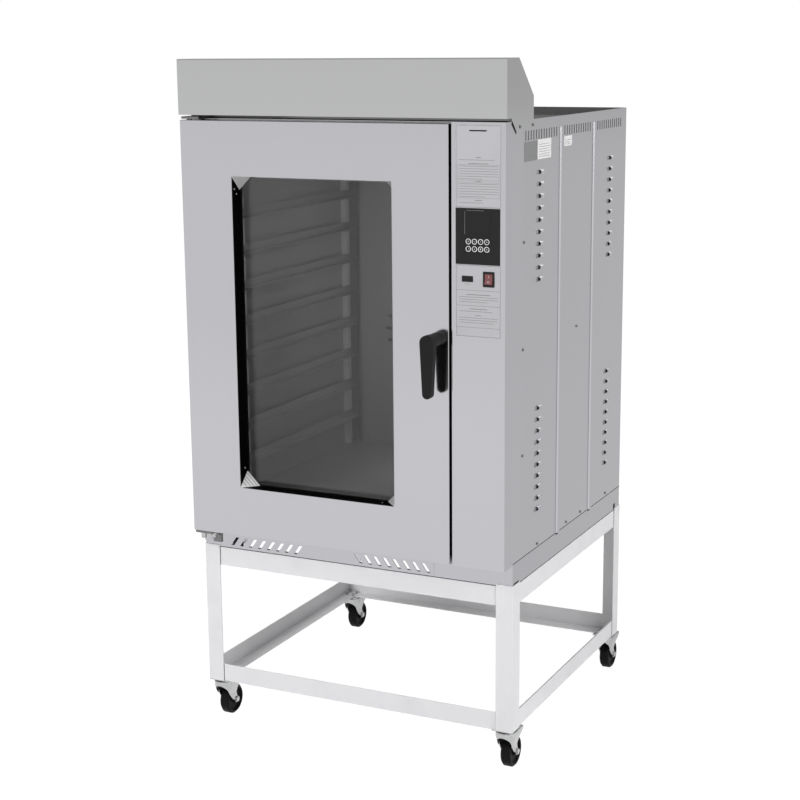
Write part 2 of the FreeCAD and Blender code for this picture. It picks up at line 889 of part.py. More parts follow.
def chamber_left_plate():
    return box(chamber_left - chamber_sheet, chamber_left, chamber_front, chamber_back,
               chamber_bottom, chamber_top)


def chamber_right_plate():
    return box(chamber_right, chamber_right + chamber_sheet, chamber_front, chamber_back,
               chamber_bottom, chamber_top)


def chamber_slab(z0):
    return box(chamber_left - chamber_sheet, chamber_right + chamber_sheet, chamber_front,
               chamber_back + chamber_sheet, z0, z0 + chamber_sheet)


def chamber_floor():
    return chamber_slab(chamber_bottom - chamber_sheet)


def chamber_roof():
    return chamber_slab(chamber_top)


def chamber_back_plate():
    plate = box(chamber_left - chamber_sheet, chamber_right + chamber_sheet, chamber_back,
                chamber_back + chamber_sheet, chamber_bottom, chamber_top)
    return plate.cut(shaft_hole(chamber_back - 1, chamber_sheet + 2))


def shaft_hole(start, length):
    return rod(point(chamber_middle, start, fan_height), AXIS_Y, shaft_hole_radius, length)


def insulation_jacket():
    skin = chamber_sheet + wool_thickness
    outer = box(chamber_left - skin, chamber_right + skin, chamber_front, wool_rear,
                chamber_bottom - chamber_sheet, chamber_top + skin)
    room = box(chamber_left - chamber_sheet, chamber_right + chamber_sheet, chamber_front - 1,
               chamber_back + chamber_sheet, chamber_bottom - chamber_sheet - 1, chamber_top + chamber_sheet)
    return outer.cut(room).cut(shaft_hole(chamber_back, wool_back + 10))


def rack_sides():
    """Wall face and inward direction of each side of the rack."""
    return ((chamber_left, 1), (chamber_right, -1))


def span(start, direction, first, last):
    """Low and high X of a piece between two distances from a wall."""
    ends = (start + direction * first, start + direction * last)
    return min(ends), max(ends)


def rack_posts():
    posts = []
    top = chamber_bottom + tray_first + (tray_levels - 1) * tray_pitch + post_over
    for wall, inward in rack_sides():
        x0, x1 = span(wall, inward, 0, post_side)
        for y0 in (chamber_front + post_front, guard_front - post_back - post_side):
            posts.append(box(x0, x1, y0, y0 + post_side, chamber_bottom, top))
    return Part.makeCompound(posts)


def tray_runners():
    runners = []
    y0 = chamber_front + runner_inset
    y1 = guard_front - runner_inset
    for wall, inward in rack_sides():
        web_x0, web_x1 = span(wall, inward, post_side, post_side + runner_sheet)
        shelf_x0, shelf_x1 = span(wall, inward, post_side, post_side + runner_flange)
        for level in range(tray_levels):
            z = chamber_bottom + tray_first + level * tray_pitch
            web = box(web_x0, web_x1, y0, y1, z - runner_sheet, z - runner_sheet + runner_height)
            shelf = box(shelf_x0, shelf_x1, y0, y1, z - runner_sheet, z)
            runners.append(web.fuse(shelf).removeSplitter())
    return Part.makeCompound(runners)


# Fan

def fan_guard():
    """Plenum wall in front of the fan, with a round field of level slots."""
    x0 = chamber_left + guard_side_gap
    x1 = chamber_right - guard_side_gap
    plate = box(x0, x1, guard_front, guard_back, chamber_bottom, chamber_top)
    slots = []
    rows = int(intake_radius / intake_pitch)
    for row in range(-rows, rows + 1):
        z = fan_height + row * intake_pitch
        reach = math.sqrt(intake_radius ** 2 - (row * intake_pitch) ** 2)
        for side in (-1, 1):
            ends = sorted((chamber_middle + side * intake_bridge / 2, chamber_middle + side * reach))
            slots.append(box(ends[0], ends[1], guard_front - 1, guard_back + 1,
                             z - intake_slot / 2, z + intake_slot / 2))
    guard = cut_all(plate, slots)
    for x in (x0 + guard_post_inset, x1 - guard_post_inset):
        for z in (chamber_bottom + guard_post_inset, chamber_top - guard_post_inset):
            post = rod(point(x, guard_back, z), AXIS_Y, guard_post_radius, chamber_back - guard_back)
            guard = guard.fuse(post)
    return guard.removeSplitter()


def fan_wheel():
    disc_back = chamber_back - fan_clearance
    disc = rod(point(chamber_middle, disc_back - fan_disc, fan_height), AXIS_Y, fan_radius, fan_disc)
    hub = rod(point(chamber_middle, disc_back - fan_depth, fan_height), AXIS_Y, fan_hub_radius, fan_depth)
    shaft_end = wool_rear + motor_bore
    shaft = rod(point(chamber_middle, disc_back, fan_height), AXIS_Y, shaft_radius, shaft_end - disc_back)
    wheel = disc.fuse([hub, shaft])
    blade = box(chamber_middle + fan_blade_root, chamber_middle + fan_radius,
                disc_back - fan_depth, disc_back - fan_disc,
                fan_height - fan_blade_sheet / 2, fan_height + fan_blade_sheet / 2)
    blades = []
    for i in range(fan_blades):
        turned = blade.copy()
        turned.rotate(point(chamber_middle, 0, fan_height), AXIS_Y, 360 * i / fan_blades)
        blades.append(turned)
    return wheel.fuse(blades).removeSplitter()


def fan_motor():
    start = point(chamber_middle, wool_rear, fan_height)
    flange = rod(start, AXIS_Y, motor_flange_radius, motor_flange)
    body = rod(start, AXIS_Y, motor_radius, motor_length)
    channels = []
    channel = box(chamber_middle + motor_radius - motor_fin_depth, chamber_middle + motor_radius + 1,
                  wool_rear + 2 * motor_flange, wool_rear + motor_length - motor_flange,
                  fan_height - motor_fin_width / 2, fan_height + motor_fin_width / 2)
    for i in range(motor_fin_count):
        turned = channel.copy()
        turned.rotate(point(chamber_middle, 0, fan_height), AXIS_Y, 360 * i / motor_fin_count)
        channels.append(turned)
    bore = rod(point(chamber_middle, wool_rear - 1, fan_height), AXIS_Y, shaft_radius + running_clearance,
               motor_bore + 1 + seal_clearance)
    return cut_all(flange.fuse(body), channels + [bore]).removeSplitter()


# Burner, gas and flue

def burner_tube():
    start = point(chamber_middle, chamber_front, burner_height)
    tube = rod(start, AXIS_Y, burner_radius, burner_length)
    flange = rod(start, AXIS_Y, burner_flange_radius, burner_flange)
    inside = rod(point(chamber_middle, chamber_front + burner_flange, burner_height), AXIS_Y,
                 burner_radius - burner_wall, burner_length - 2 * burner_flange)
    slots = []
    half = burner_slot_width / 2
    count = int((burner_length - 4 * burner_slot_pitch) / burner_slot_pitch)
    for i in range(count):
        y = chamber_front + (i + 2) * burner_slot_pitch
        slots.append(box(chamber_middle - half, chamber_middle + half, y, y + burner_slot_length,
                         burner_height, burner_height + burner_radius + 1))
    return cut_all(tube.fuse(flange), [inside] + slots).removeSplitter()


def gas_valve():
    pipe_start = chamber_front + burner_length
    block_start = pipe_start + gas_pipe_length
    half = valve_side / 2
    pipe = rod(point(chamber_middle, pipe_start, burner_height), AXIS_Y, gas_pipe_radius, gas_pipe_length)
    block = box(chamber_middle - half, chamber_middle + half, block_start, block_start + valve_side,
                burner_height - half, burner_height + half)
    inlet_start = block_start + valve_side
    nut_end = rear + inlet_nut
    feed_start = point(chamber_middle, inlet_start, burner_height)
    feed = rod(feed_start, AXIS_Y, gas_pipe_radius, nut_end - inlet_start)
    nut = hexagon(0, 0, 0, inlet_nut_across, inlet_nut)
    nut.rotate(point(0, 0, 0), AXIS_X, -90)
    nut.translate(point(chamber_middle, rear, burner_height))
    stub = rod(point(chamber_middle, nut_end, burner_height), AXIS_Y, inlet_radius, inlet_reach)
    return pipe.fuse([block, feed, nut, stub]).removeSplitter()


def flue_spigot():
    start = point(chamber_middle, rear, flue_height)
    half = flue_flange
    flange = box(chamber_middle - half, chamber_middle + half, rear, rear + flue_flange_sheet,
                 flue_height - half, flue_height + half)
    tube = rod(start, AXIS_Y, flue_radius, flue_reach + flue_flange_sheet)
    inside_start = point(chamber_middle, rear - 1, flue_height)
    inside = rod(inside_start, AXIS_Y, flue_radius - flue_wall, flue_reach + flue_flange_sheet + 2)
    return flange.fuse(tube).cut(inside).removeSplitter()


# Door

def window_room(y0, y1, grow):
    return box(window_x0 - grow, window_x1 + grow, y0, y1, window_z0 - grow, window_z1 + grow)


def door_skin():
    outer = box(left, door_right, face, door_back, door_bottom, door_top)
    outer = round_edges(outer, door_bend, lambda c: near(c.y, face))
    inner = box(left + sheet, door_right - sheet, face + sheet, door_back + 1,
                door_bottom + sheet, door_top - sheet)
    bush_holes = rod(point(hinge_x, hinge_y, door_bottom - 1), AXIS_Z, hinge_pin_radius + bush_wall,
                     door_top - door_bottom + 2)
    spindle_start = point(handle_x, face - 1, handle_z)
    spindle_hole = rod(spindle_start, AXIS_Y, spindle_radius + running_clearance, sheet + 2)
    slot_y0 = face + tongue_set_back - tongue_gap
    slot_y1 = slot_y0 + tongue_thickness + 2 * tongue_gap
    tongue_slot = box(door_right - 2 * sheet, door_right + 1, slot_y0, slot_y1,
                      handle_z - tongue_reach, handle_z + tongue_half + tongue_gap)
    window = window_room(face - 1, face + 2 * sheet, 0)
    return cut_all(outer, [inner, window, bush_holes, spindle_hole, tongue_slot])


def door_liner():
    plate = box(left + sheet, door_right - sheet, liner_front, door_back,
                door_bottom + sheet, door_top - sheet)
    return plate.cut(window_room(liner_front - 1, door_back + 1, 0))


def window_reveal():
    return window_room(face + sheet, reveal_back, sheet).cut(window_room(face, reveal_back + 1, 0))


def window_panes():
    front = window_room(reveal_back, reveal_back + pane_thickness, pane_lap)
    back = window_room(liner_front - pane_thickness, liner_front, pane_lap)
    return Part.makeCompound([front, back])


def corner_gussets():
    """Bright triangles that close the window's corners, from the front corner back to the glass."""
    room = window_room(face + sheet, reveal_back, 0)
    gussets = []
    for x, across in ((window_x0, 1), (window_x1, -1)):
        for z, upward in ((window_z0, 1), (window_z1, -1)):
            corners = [point(x, face + sheet, z), point(x + across * gusset_leg, reveal_back, z),
                       point(x, reveal_back, z + upward * gusset_leg)]
            gussets.append(prism(corners, point(0, -2 * gusset_sheet, 0)).common(room))
    return Part.makeCompound(gussets)


def door_gasket():
    def ring(grow):
        return box(chamber_left - grow, chamber_right + grow, door_back, door_back + gasket_depth,
                   chamber_bottom - grow, chamber_top + grow)

    return ring(gasket_margin + gasket_width).cut(ring(gasket_margin))


def door_insulation():
    margin = door_wool_margin
    slab = box(left + margin, door_right - door_wool_right, face + sheet, reveal_back,
               door_bottom + margin, door_top - margin)
    return slab.cut(window_room(face, reveal_back + 1, sheet))


def hinge_bushes():
    bushes = []
    for z in (door_bottom, door_top - bush_length):
        sleeve = rod(point(hinge_x, hinge_y, z), AXIS_Z, hinge_pin_radius + bush_wall, bush_length)
        bore_start = point(hinge_x, hinge_y, z - 1)
        bore = rod(bore_start, AXIS_Z, hinge_pin_radius + running_clearance, bush_length + 2)
        bushes.append(sleeve.cut(bore))
    return Part.makeCompound(bushes)


def hinge_brackets():
    x1 = left + hinge_plate_width
    low_top = door_bottom - hinge_gap
    low = low_top - hinge_plate
    lower = box(left, x1, face + hinge_plate_front, base_front, low, low_top)
    flange = box(left, x1, base_front - hinge_flange_sheet, base_front, low - hinge_flange_drop, low)
    pin = rod(point(hinge_x, hinge_y, low - hinge_pin_tail), AXIS_Z, hinge_pin_radius,
              hinge_pin_tail + hinge_plate + hinge_gap + hinge_pin_reach)
    stud_start = point(x1 - hinge_stud_inset, hinge_y + hinge_stud_radius, low - hinge_pin_tail)
    stud = rod(stud_start, AXIS_Z, hinge_stud_radius, hinge_pin_tail)
    lower = lower.fuse([flange, pin, stud]).removeSplitter()
    upper = box(left, x1, face + hinge_plate_front, frame_back, frame_top, frame_top + hinge_plate)
    upper_pin = rod(point(hinge_x, hinge_y, door_top - hinge_pin_reach), AXIS_Z, hinge_pin_radius,
                    hinge_pin_reach + hinge_gap)
    return Part.makeCompound([lower, upper.fuse(upper_pin).removeSplitter()])


# Handle and latch

def tapered_outline(y):
    """Lever seen from the front: two round ends joined by tangent lines, hanging from the pivot."""
    drop = lever_length - lever_tip_radius
    sine = (lever_top_radius - lever_tip_radius) / drop
    cosine = math.sqrt(1 - sine ** 2)

    def rim(radius, z, side):
        return point(handle_x + side * radius * cosine, y, z - radius * sine)

    tip_z = handle_z - drop
    top = point(handle_x, y, handle_z + lever_top_radius)
    tip = point(handle_x, y, tip_z - lever_tip_radius)
    top_right = rim(lever_top_radius, handle_z, 1)
    top_left = rim(lever_top_radius, handle_z, -1)
    tip_right = rim(lever_tip_radius, tip_z, 1)
    tip_left = rim(lever_tip_radius, tip_z, -1)
    edges = [
        Part.Arc(top_left, top, top_right).toShape(),
        Part.LineSegment(top_right, tip_right).toShape(),
        Part.Arc(tip_right, tip, tip_left).toShape(),
        Part.LineSegment(tip_left, top_left).toShape(),
    ]
    return Part.Face(Part.Wire(edges))


def handle_lever():
    front = face - handle_reach
    lever = tapered_outline(front).extrude(point(0, lever_thickness, 0))
    lever = round_edges(lever, lever_round, lambda c: near(c.y, front))
    neck_start = front + lever_thickness
    neck_length = face - neck_clearance - neck_start
    neck = rod(point(handle_x, neck_start, handle_z), AXIS_Y, neck_radius, neck_length)
    return lever.fuse(neck).removeSplitter()


def latch_spindle():
    start = face - neck_clearance
    spindle = rod(point(handle_x, start, handle_z), AXIS_Y, spindle_radius, spindle_depth + neck_clearance)
    y0 = face + tongue_set_back
    tongue = box(handle_x, handle_x + tongue_reach, y0, y0 + tongue_thickness,
                 handle_z - tongue_half, handle_z + tongue_half)
    return spindle.fuse(tongue).removeSplitter()


def latch_keeper():
    y = face + keeper_set_back
    low = handle_z - keeper_height / 2
    nose_start = point(column_left + keeper_radius - keeper_nose, y, low)
    nose = rod(nose_start, AXIS_Z, keeper_radius, keeper_height)
    room = box(column_left - keeper_nose, column_left, face, frame_front, low, low + keeper_height)
    return nose.common(room)


pieces = {
    "stand_legs": stand_legs,
    "stand_upper_rails": stand_upper_rails,
    "stand_lower_rails": stand_lower_rails,
    "caster_bolts": caster_bolts,
    "caster_plates": caster_plates,
    "base_pan": base_pan,
    "side_panel_left": side_panel_left,
    "side_panel_right": side_panel_right,
    "rear_panel": rear_panel,
    "roof_panel": roof_panel,
    "header_hood": header_hood,
    "control_column": control_column,
    "keypad_panel": keypad_panel,
    "port_cover": port_cover,
    "rocker_frame": rocker_frame,
    "rocker_switch": rocker_switch,
    "controller_board": controller_board,
    "front_frame": front_frame,
    "chamber_left": chamber_left_plate,
    "chamber_right": chamber_right_plate,
    "chamber_floor": chamber_floor,
    "chamber_roof": chamber_roof,
    "chamber_back": chamber_back_plate,
    "insulation_jacket": insulation_jacket,
    "rack_posts": rack_posts,
    "tray_runners": tray_runners,
    "fan_guard": fan_guard,
    "fan_wheel": fan_wheel,
    "fan_motor": fan_motor,
    "burner_tube": burner_tube,
    "gas_valve": gas_valve,
    "flue_spigot": flue_spigot,
    "door_skin": door_skin,
    "door_liner": door_liner,
    "door_insulation": door_insulation,
    "door_gasket": door_gasket,
    "window_reveal": window_reveal,
    "window_panes": window_panes,
    "corner_gussets": corner_gussets,
    "hinge_brackets": hinge_brackets,
    "hinge_bushes": hinge_bushes,
    "handle_lever": handle_lever,
    "latch_spindle": latch_spindle,
    "latch_keeper": latch_keeper,
}


def main():
    os.makedirs("parts", exist_ok=True)
    shapes = {name: make() for name, make in pieces.items()}
    for place in swivel_places:
        shapes["caster_fork_" + place] = caster_fork(place)
        shapes["caster_wheel_" + place] = caster_wheel(place)
    for number, (x, z) in enumerate(key_centres(), start=1):
        shapes["key_%d" % number] = key(x, z)
    for name, shape in shapes.items():
        shape.exportStep("parts/%s.step" % name)
        state = "valid" if shape.isValid() else "NOT VALID"
        print(name, len(shape.Solids), "solids", round(shape.Volume), "mm3", state)


main()
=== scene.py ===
import math

import bmesh
import bpy
from mathutils import Matrix, Vector


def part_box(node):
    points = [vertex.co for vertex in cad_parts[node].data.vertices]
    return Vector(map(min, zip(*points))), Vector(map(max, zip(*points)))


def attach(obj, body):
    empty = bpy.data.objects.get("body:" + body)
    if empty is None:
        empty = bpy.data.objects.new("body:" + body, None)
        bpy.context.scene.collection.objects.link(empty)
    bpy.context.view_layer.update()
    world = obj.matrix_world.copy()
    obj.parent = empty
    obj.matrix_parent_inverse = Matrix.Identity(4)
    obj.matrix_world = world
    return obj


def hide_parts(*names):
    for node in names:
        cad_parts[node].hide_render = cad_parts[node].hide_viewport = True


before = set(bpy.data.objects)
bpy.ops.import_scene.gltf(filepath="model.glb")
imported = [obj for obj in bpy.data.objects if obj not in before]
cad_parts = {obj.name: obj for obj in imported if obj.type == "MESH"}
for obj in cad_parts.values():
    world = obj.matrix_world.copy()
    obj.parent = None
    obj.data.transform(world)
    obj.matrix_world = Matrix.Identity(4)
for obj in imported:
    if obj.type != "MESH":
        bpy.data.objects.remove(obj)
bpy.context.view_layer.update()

# Tray convection oven on a castered stand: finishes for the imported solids, and the small pieces that they
# leave out. The frame, camera and studio are in metres, the other sizes in millimetres; front towards -Y.

MM = 0.001
UP = Vector((0, 0, 1))
OUT_FRONT = Vector((0, -1, 0))
OUT_REAR = Vector((0, 1, 0))
OUT_RIGHT = Vector((1, 0, 0))
OUT_LEFT = Vector((-1, 0, 0))

door_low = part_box("door_skin")[0]
column_low, column_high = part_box("control_column")
keypad_low, keypad_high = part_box("keypad_panel")
rear_low, rear_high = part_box("rear_panel")
base_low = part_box("base_pan")[0]
FACE = door_low.y
REAR = rear_high.y
RIGHT = column_high.x
LEFT = -RIGHT
BASE_TOP = rear_low.z
ROOF = rear_high.z
STAND_TOP = base_low.z


# Camera

CAMERA_PLACE = Vector((2.2478, -4.7092, 2.1329))
CAMERA_YAW = 0.4541
CAMERA_PITCH = 0.2126
CAMERA_ROLL = -0.009
CAMERA_LENS = 75.129
CAMERA_SENSOR = 36
CAMERA_NEAR, CAMERA_FAR = 0.1, 200


def photo_camera():
    """Camera at the photograph's place and angle."""
    forward = Vector((
        -math.sin(CAMERA_YAW) * math.cos(CAMERA_PITCH),
        math.cos(CAMERA_YAW) * math.cos(CAMERA_PITCH),
        -math.sin(CAMERA_PITCH),
    ))
    level = Vector((math.cos(CAMERA_YAW), math.sin(CAMERA_YAW), 0))
    up = level.cross(forward)
    across = math.cos(CAMERA_ROLL) * level + math.sin(CAMERA_ROLL) * up
    upward = math.cos(CAMERA_ROLL) * up - math.sin(CAMERA_ROLL) * level
    turn = Matrix((across, upward, -forward)).transposed()
    data = bpy.data.cameras.new("photo_camera")
    data.lens = CAMERA_LENS
    data.sensor_width = CAMERA_SENSOR
    data.clip_start = CAMERA_NEAR
    data.clip_end = CAMERA_FAR
    camera = bpy.data.objects.new("photo_camera", data)
    camera.matrix_world = Matrix.Translation(CAMERA_PLACE) @ turn.to_4x4()
    bpy.context.scene.collection.objects.link(camera)
    bpy.context.scene.camera = camera


# Shader nodes

def node(tree, kind, inputs=None, **settings):
    """Place a shader node, with its settings, input values and links."""
    made = tree.nodes.new(kind)
    for key, value in settings.items():
        setattr(made, key, value)
    for key, value in (inputs or {}).items():
        if isinstance(value, bpy.types.NodeSocket):
            tree.links.new(value, made.inputs[key])
        else:
            made.inputs[key].default_value = value
    return made


def sums(tree, operation, first, second=0.0):
    """Output of a Math node."""
    return node(tree, "ShaderNodeMath", {0: first, 1: second}, operation=operation).outputs[0]


def ramp(tree, value, start, end, low, high):
    """Output of a Map Range node."""
    return node(tree, "ShaderNodeMapRange", {
        "Value": value, "From Min": start, "From Max": end, "To Min": low, "To Max": high,
    }).outputs[0]


# Studio: white backdrop and floor, and lamps

BACKDROP_HORIZON = 0.92
BACKDROP_ZENITH = 0.62
BACKDROP_RISE = (0.0, 0.9)
BACKDROP_REAR = 0.64
BACKDROP_TURN = (-0.3, 0.5)
WORLD_FILL = 0.3
FLOOR_SIZE = 80
FLOOR_DROP = 0.0005
FLOOR_TONE = 0.82
FLOOR_SEEN = 1.1
FLOOR_MIRRORED = 1.08
FLOOR_REAR = 0.718
FLOOR_TURN = (0.0, 0.8)
FLOOR_GLOW_SHARE = 0.9
WHITE = (1, 1, 1, 1)

# Each lamp: name, place, the point it is aimed at, size, power in watts, and whether metal mirrors it
LAMPS = (
    ("front_box", (-2.6, -5.2, 4.2), (0, 0, 1.1), 3.0, 232, False),
    ("side_box", (5.0, -1.2, 3.4), (0, 0, 1.1), 2.6, 146, True),
    ("rear_box", (1.6, 5.4, 3.7), (0, 0, 1.2), 2.0, 22, True),
    ("far_box", (-3.5, 4.5, 3.5), (0, 0, 1.2), 3.0, 60, False),
    ("chamber_top_glow", (0.0, -0.25, 1.7), (-0.4, 0.0, 1.2), 0.12, 0.32, False),
    ("chamber_back_glow", (0.1, -0.2, 1.25), (0.15, 0.39, 1.25), 0.5, 0.95, False),
)


def seen_rays(tree):
    """Two masks: rays that see the backdrop, mirrored or through glass too, and the camera's rays alone."""
    path = node(tree, "ShaderNodeLightPath").outputs
    mirrored = sums(tree, "MAXIMUM", path["Is Glossy Ray"], path["Is Transmission Ray"])
    return sums(tree, "MAXIMUM", path["Is Camera Ray"], mirrored), path["Is Camera Ray"]


def studio_world():
    """White for the camera; what metal mirrors is dimmer overhead and towards the rear."""
    world = bpy.data.worlds.new("studio")
    bpy.context.scene.world = world
    world.use_nodes = True
    tree = world.node_tree
    tree.nodes.clear()
    seen, camera_ray = seen_rays(tree)
    direction = node(tree, "ShaderNodeTexCoord").outputs["Generated"]
    axes = node(tree, "ShaderNodeSeparateXYZ", {0: direction}).outputs
    height = ramp(tree, axes["Z"], *BACKDROP_RISE, BACKDROP_HORIZON, BACKDROP_ZENITH)
    depth = ramp(tree, axes["Y"], *BACKDROP_TURN, 1.0, BACKDROP_REAR)
    fade = sums(tree, "MULTIPLY", height, depth)
    shown = sums(tree, "MAXIMUM", fade, camera_ray)
    backdrop = node(tree, "ShaderNodeBackground", {"Color": WHITE, "Strength": shown})
    fill = node(tree, "ShaderNodeBackground", {"Color": WHITE, "Strength": WORLD_FILL})
    mix = node(tree, "ShaderNodeMixShader", {0: seen, 1: fill.outputs[0], 2: backdrop.outputs[0]})
    node(tree, "ShaderNodeOutputWorld", {"Surface": mix.outputs[0]})


def studio_floor():
    """Pale floor that keeps the shadow; metal mirrors it dimmer behind the oven."""
    bpy.ops.object.select_all(action="DESELECT")
    bpy.ops.mesh.primitive_plane_add(size=FLOOR_SIZE, location=(0, 0, -FLOOR_DROP))
    floor = bpy.context.object
    floor.name = "studio_floor"
    material = bpy.data.materials.new("studio_floor")
    material.use_nodes = True
    tree = material.node_tree
    tree.nodes.clear()
    seen, camera_ray = seen_rays(tree)
    share = sums(tree, "MULTIPLY", seen, FLOOR_GLOW_SHARE)
    place = node(tree, "ShaderNodeTexCoord").outputs["Object"]
    depth = node(tree, "ShaderNodeSeparateXYZ", {0: place}).outputs["Y"]
    mirrored = ramp(tree, depth, *FLOOR_TURN, FLOOR_MIRRORED, FLOOR_MIRRORED * FLOOR_REAR)
    plain = sums(tree, "MULTIPLY", camera_ray, FLOOR_SEEN)
    shown = sums(tree, "MAXIMUM", mirrored, plain)
    matt = node(tree, "ShaderNodeBsdfDiffuse", {"Color": (FLOOR_TONE, FLOOR_TONE, FLOOR_TONE, 1)})
    glow = node(tree, "ShaderNodeEmission", {"Color": WHITE, "Strength": shown})
    mix = node(tree, "ShaderNodeMixShader", {0: share, 1: matt.outputs[0], 2: glow.outputs[0]})
    node(tree, "ShaderNodeOutputMaterial", {"Surface": mix.outputs[0]})
    floor.data.materials.append(material)


def studio_lights():
    """Square lamps round the oven, and two small ones in its chamber."""
    for name, place, aim, size, power, mirrored in LAMPS:
        data = bpy.data.lights.new(name, "AREA")
        data.size = size
        data.energy = power
        light = bpy.data.objects.new(name, data)
        light.location = place
        light.rotation_euler = (Vector(aim) - Vector(place)).to_track_quat("-Z", "Y").to_euler()
        light.visible_glossy = mirrored
        bpy.context.scene.collection.objects.link(light)


# Shared surface effects

def surface_group(name, inputs):
    """Shader group with Tone and Shine, more inputs, and the outputs that every finish uses."""
    group = bpy.data.node_groups.new(name, "ShaderNodeTree")
    given = [("Tone", "NodeSocketColor", (0.5, 0.5, 0.5, 1)), ("Shine", "NodeSocketFloat", 0.3)]
    for label, kind, value in given + inputs:
        group.interface.new_socket(label, in_out="INPUT", socket_type=kind).default_value = value
    for label, kind in (("Color", "Color"), ("Roughness", "Float"), ("Height", "Float")):
        group.interface.new_socket(label, in_out="OUTPUT", socket_type="NodeSocket" + kind)
    source = node(group, "NodeGroupInput").outputs
    place = node(group, "ShaderNodeTexCoord").outputs["Object"]
    return group, source, place


def close_group(group, source, tint, rough, height):
    """Link a group's outputs: its tone times a tint, its roughness and its relief."""
    color = node(group, "ShaderNodeVectorMath", {0: source["Tone"], "Scale": tint}, operation="SCALE")
    end = node(group, "NodeGroupOutput")
    group.links.new(color.outputs[0], end.inputs["Color"])
    group.links.new(node(group, "ShaderNodeClamp", {"Value": rough}).outputs[0], end.inputs["Roughness"])
    group.links.new(height, end.inputs["Height"])
    return group


def noise(tree, place, scale, detail):
    """Output of a Noise node."""
    made = node(tree, "ShaderNodeTexNoise", {"Vector": place, "Scale": scale, "Detail": detail})
    return made.outputs["Fac"]


def stretched(tree, place, scale, **turn):
    """Coordinates stretched along the axes."""
    return node(tree, "ShaderNodeMapping", {"Vector": place, "Scale": scale, **turn}).outputs[0]


def swing(tree, value, amount):
    """Noise turned into a swing about zero."""
    return sums(tree, "MULTIPLY", sums(tree, "SUBTRACT", value, 0.5), amount)


def rolled_sheet():
    """Rolled steel sheet: fine streaks along its grain, and faint wiped patches."""
    group, source, place = surface_group("rolled_sheet", [
        ("Grain", "NodeSocketVector", (1, 1, 1)),
        ("Streaks", "NodeSocketFloat", 0.05),
        ("Patches", "NodeSocketFloat", 0.05),
    ])
    gloss_share = 0.8
    streak = noise(group, stretched(group, place, source["Grain"]), scale=1.0, detail=6.0)
    patch = noise(group, place, scale=3.1, detail=4.0)
    fine = swing(group, streak, source["Streaks"])
    wide = swing(group, patch, source["Patches"])
    both = sums(group, "ADD", fine, wide)
    tint = sums(group, "ADD", both, 1.0)
    rough = sums(group, "ADD", source["Shine"], sums(group, "MULTIPLY", both, gloss_share))
    return close_group(group, source, tint, rough, streak)


def sprayed_paint():
    """Sprayed enamel: orange peel, and a little handling soil."""
    group, source, place = surface_group("sprayed_paint", [("Soil", "NodeSocketFloat", 0.05)])
    soil_from, soil_full = 0.5, 0.8
    peel_gloss = 0.08
    peel = noise(group, place, scale=650.0, detail=2.0)
    soil = noise(group, place, scale=9.0, detail=6.0)
    dirt = ramp(group, soil, soil_from, soil_full, 0.0, source["Soil"])
    tint = sums(group, "SUBTRACT", 1.0, dirt)
    rough = sums(group, "ADD", source["Shine"], sums(group, "ADD", dirt, swing(group, peel, peel_gloss)))
    return close_group(group, source, tint, rough, peel)


def plated_zinc():
    """Zinc plating: small cells that catch the light unevenly."""
    group, source, place = surface_group("plated_zinc", [("Cells", "NodeSocketFloat", 0.2)])
    cell_scale = 260.0
    gloss_share = 0.5
    cell = node(group, "ShaderNodeTexVoronoi", {"Vector": place, "Scale": cell_scale}).outputs["Color"]
    shade = node(group, "ShaderNodeSeparateColor", {0: cell}).outputs[0]
    wear = noise(group, place, scale=60.0, detail=5.0)
    both = sums(group, "ADD", swing(group, shade, source["Cells"]), swing(group, wear, source["Cells"]))
    tint = sums(group, "ADD", both, 1.0)
    rough = sums(group, "ADD", source["Shine"], sums(group, "MULTIPLY", both, gloss_share))
    return close_group(group, source, tint, rough, wear)


def moulded_grain():
    """Moulded plastic or rubber: spark-eroded grain and slight fading."""
    group, source, place = surface_group("moulded_grain", [
        ("Size", "NodeSocketFloat", 1400.0),
        ("Fade", "NodeSocketFloat", 0.2),
    ])
    grain_gloss = 0.1
    fade_gloss = 0.08
    grain = noise(group, place, scale=source["Size"], detail=2.0)
    fade = noise(group, place, scale=24.0, detail=4.0)
    tint = sums(group, "ADD", swing(group, fade, source["Fade"]), 1.0)
    uneven = sums(group, "ADD", swing(group, grain, grain_gloss), swing(group, fade, fade_gloss))
    rough = sums(group, "ADD", source["Shine"], uneven)
    return close_group(group, source, tint, rough, grain)


def fibre_mat():
    """Felted fibre: crossed strands, light and dark."""
    group, source, place = surface_group("fibre_mat", [("Depth", "NodeSocketFloat", 0.5)])
    upright = noise(group, stretched(group, place, (420, 420, 60)), scale=1.0, detail=4.0)
    level = noise(group, stretched(group, place, (60, 420, 420)), scale=1.0, detail=4.0)
    strands = sums(group, "MAXIMUM", upright, level)
    tint = sums(group, "ADD", swing(group, strands, source["Depth"]), 1.0)
    return close_group(group, source, tint, source["Shine"], strands)


def wiped_glass():
    """Tinted oven glass: faint wiping marks in its gloss and its tint."""
    group, source, place = surface_group("wiped_glass", [("Marks", "NodeSocketFloat", 0.02)])
    tint_swing = 0.2
    marks = noise(group, stretched(group, place, (3, 3, 9), Rotation=(0, 0.5, 0)), scale=1.0, detail=5.0)
    tint = sums(group, "ADD", swing(group, marks, tint_swing), 1.0)
    rough = sums(group, "ADD", source["Shine"], swing(group, marks, source["Marks"]))
    return close_group(group, source, tint, rough, marks)


EFFECTS = {
    "sheet": rolled_sheet(),
    "paint": sprayed_paint(),
    "zinc": plated_zinc(),
    "moulded": moulded_grain(),
    "fibre": fibre_mat(),
    "glass": wiped_glass(),
}


# Finishes; a relief is the strength and the depth, in metres, of a bump

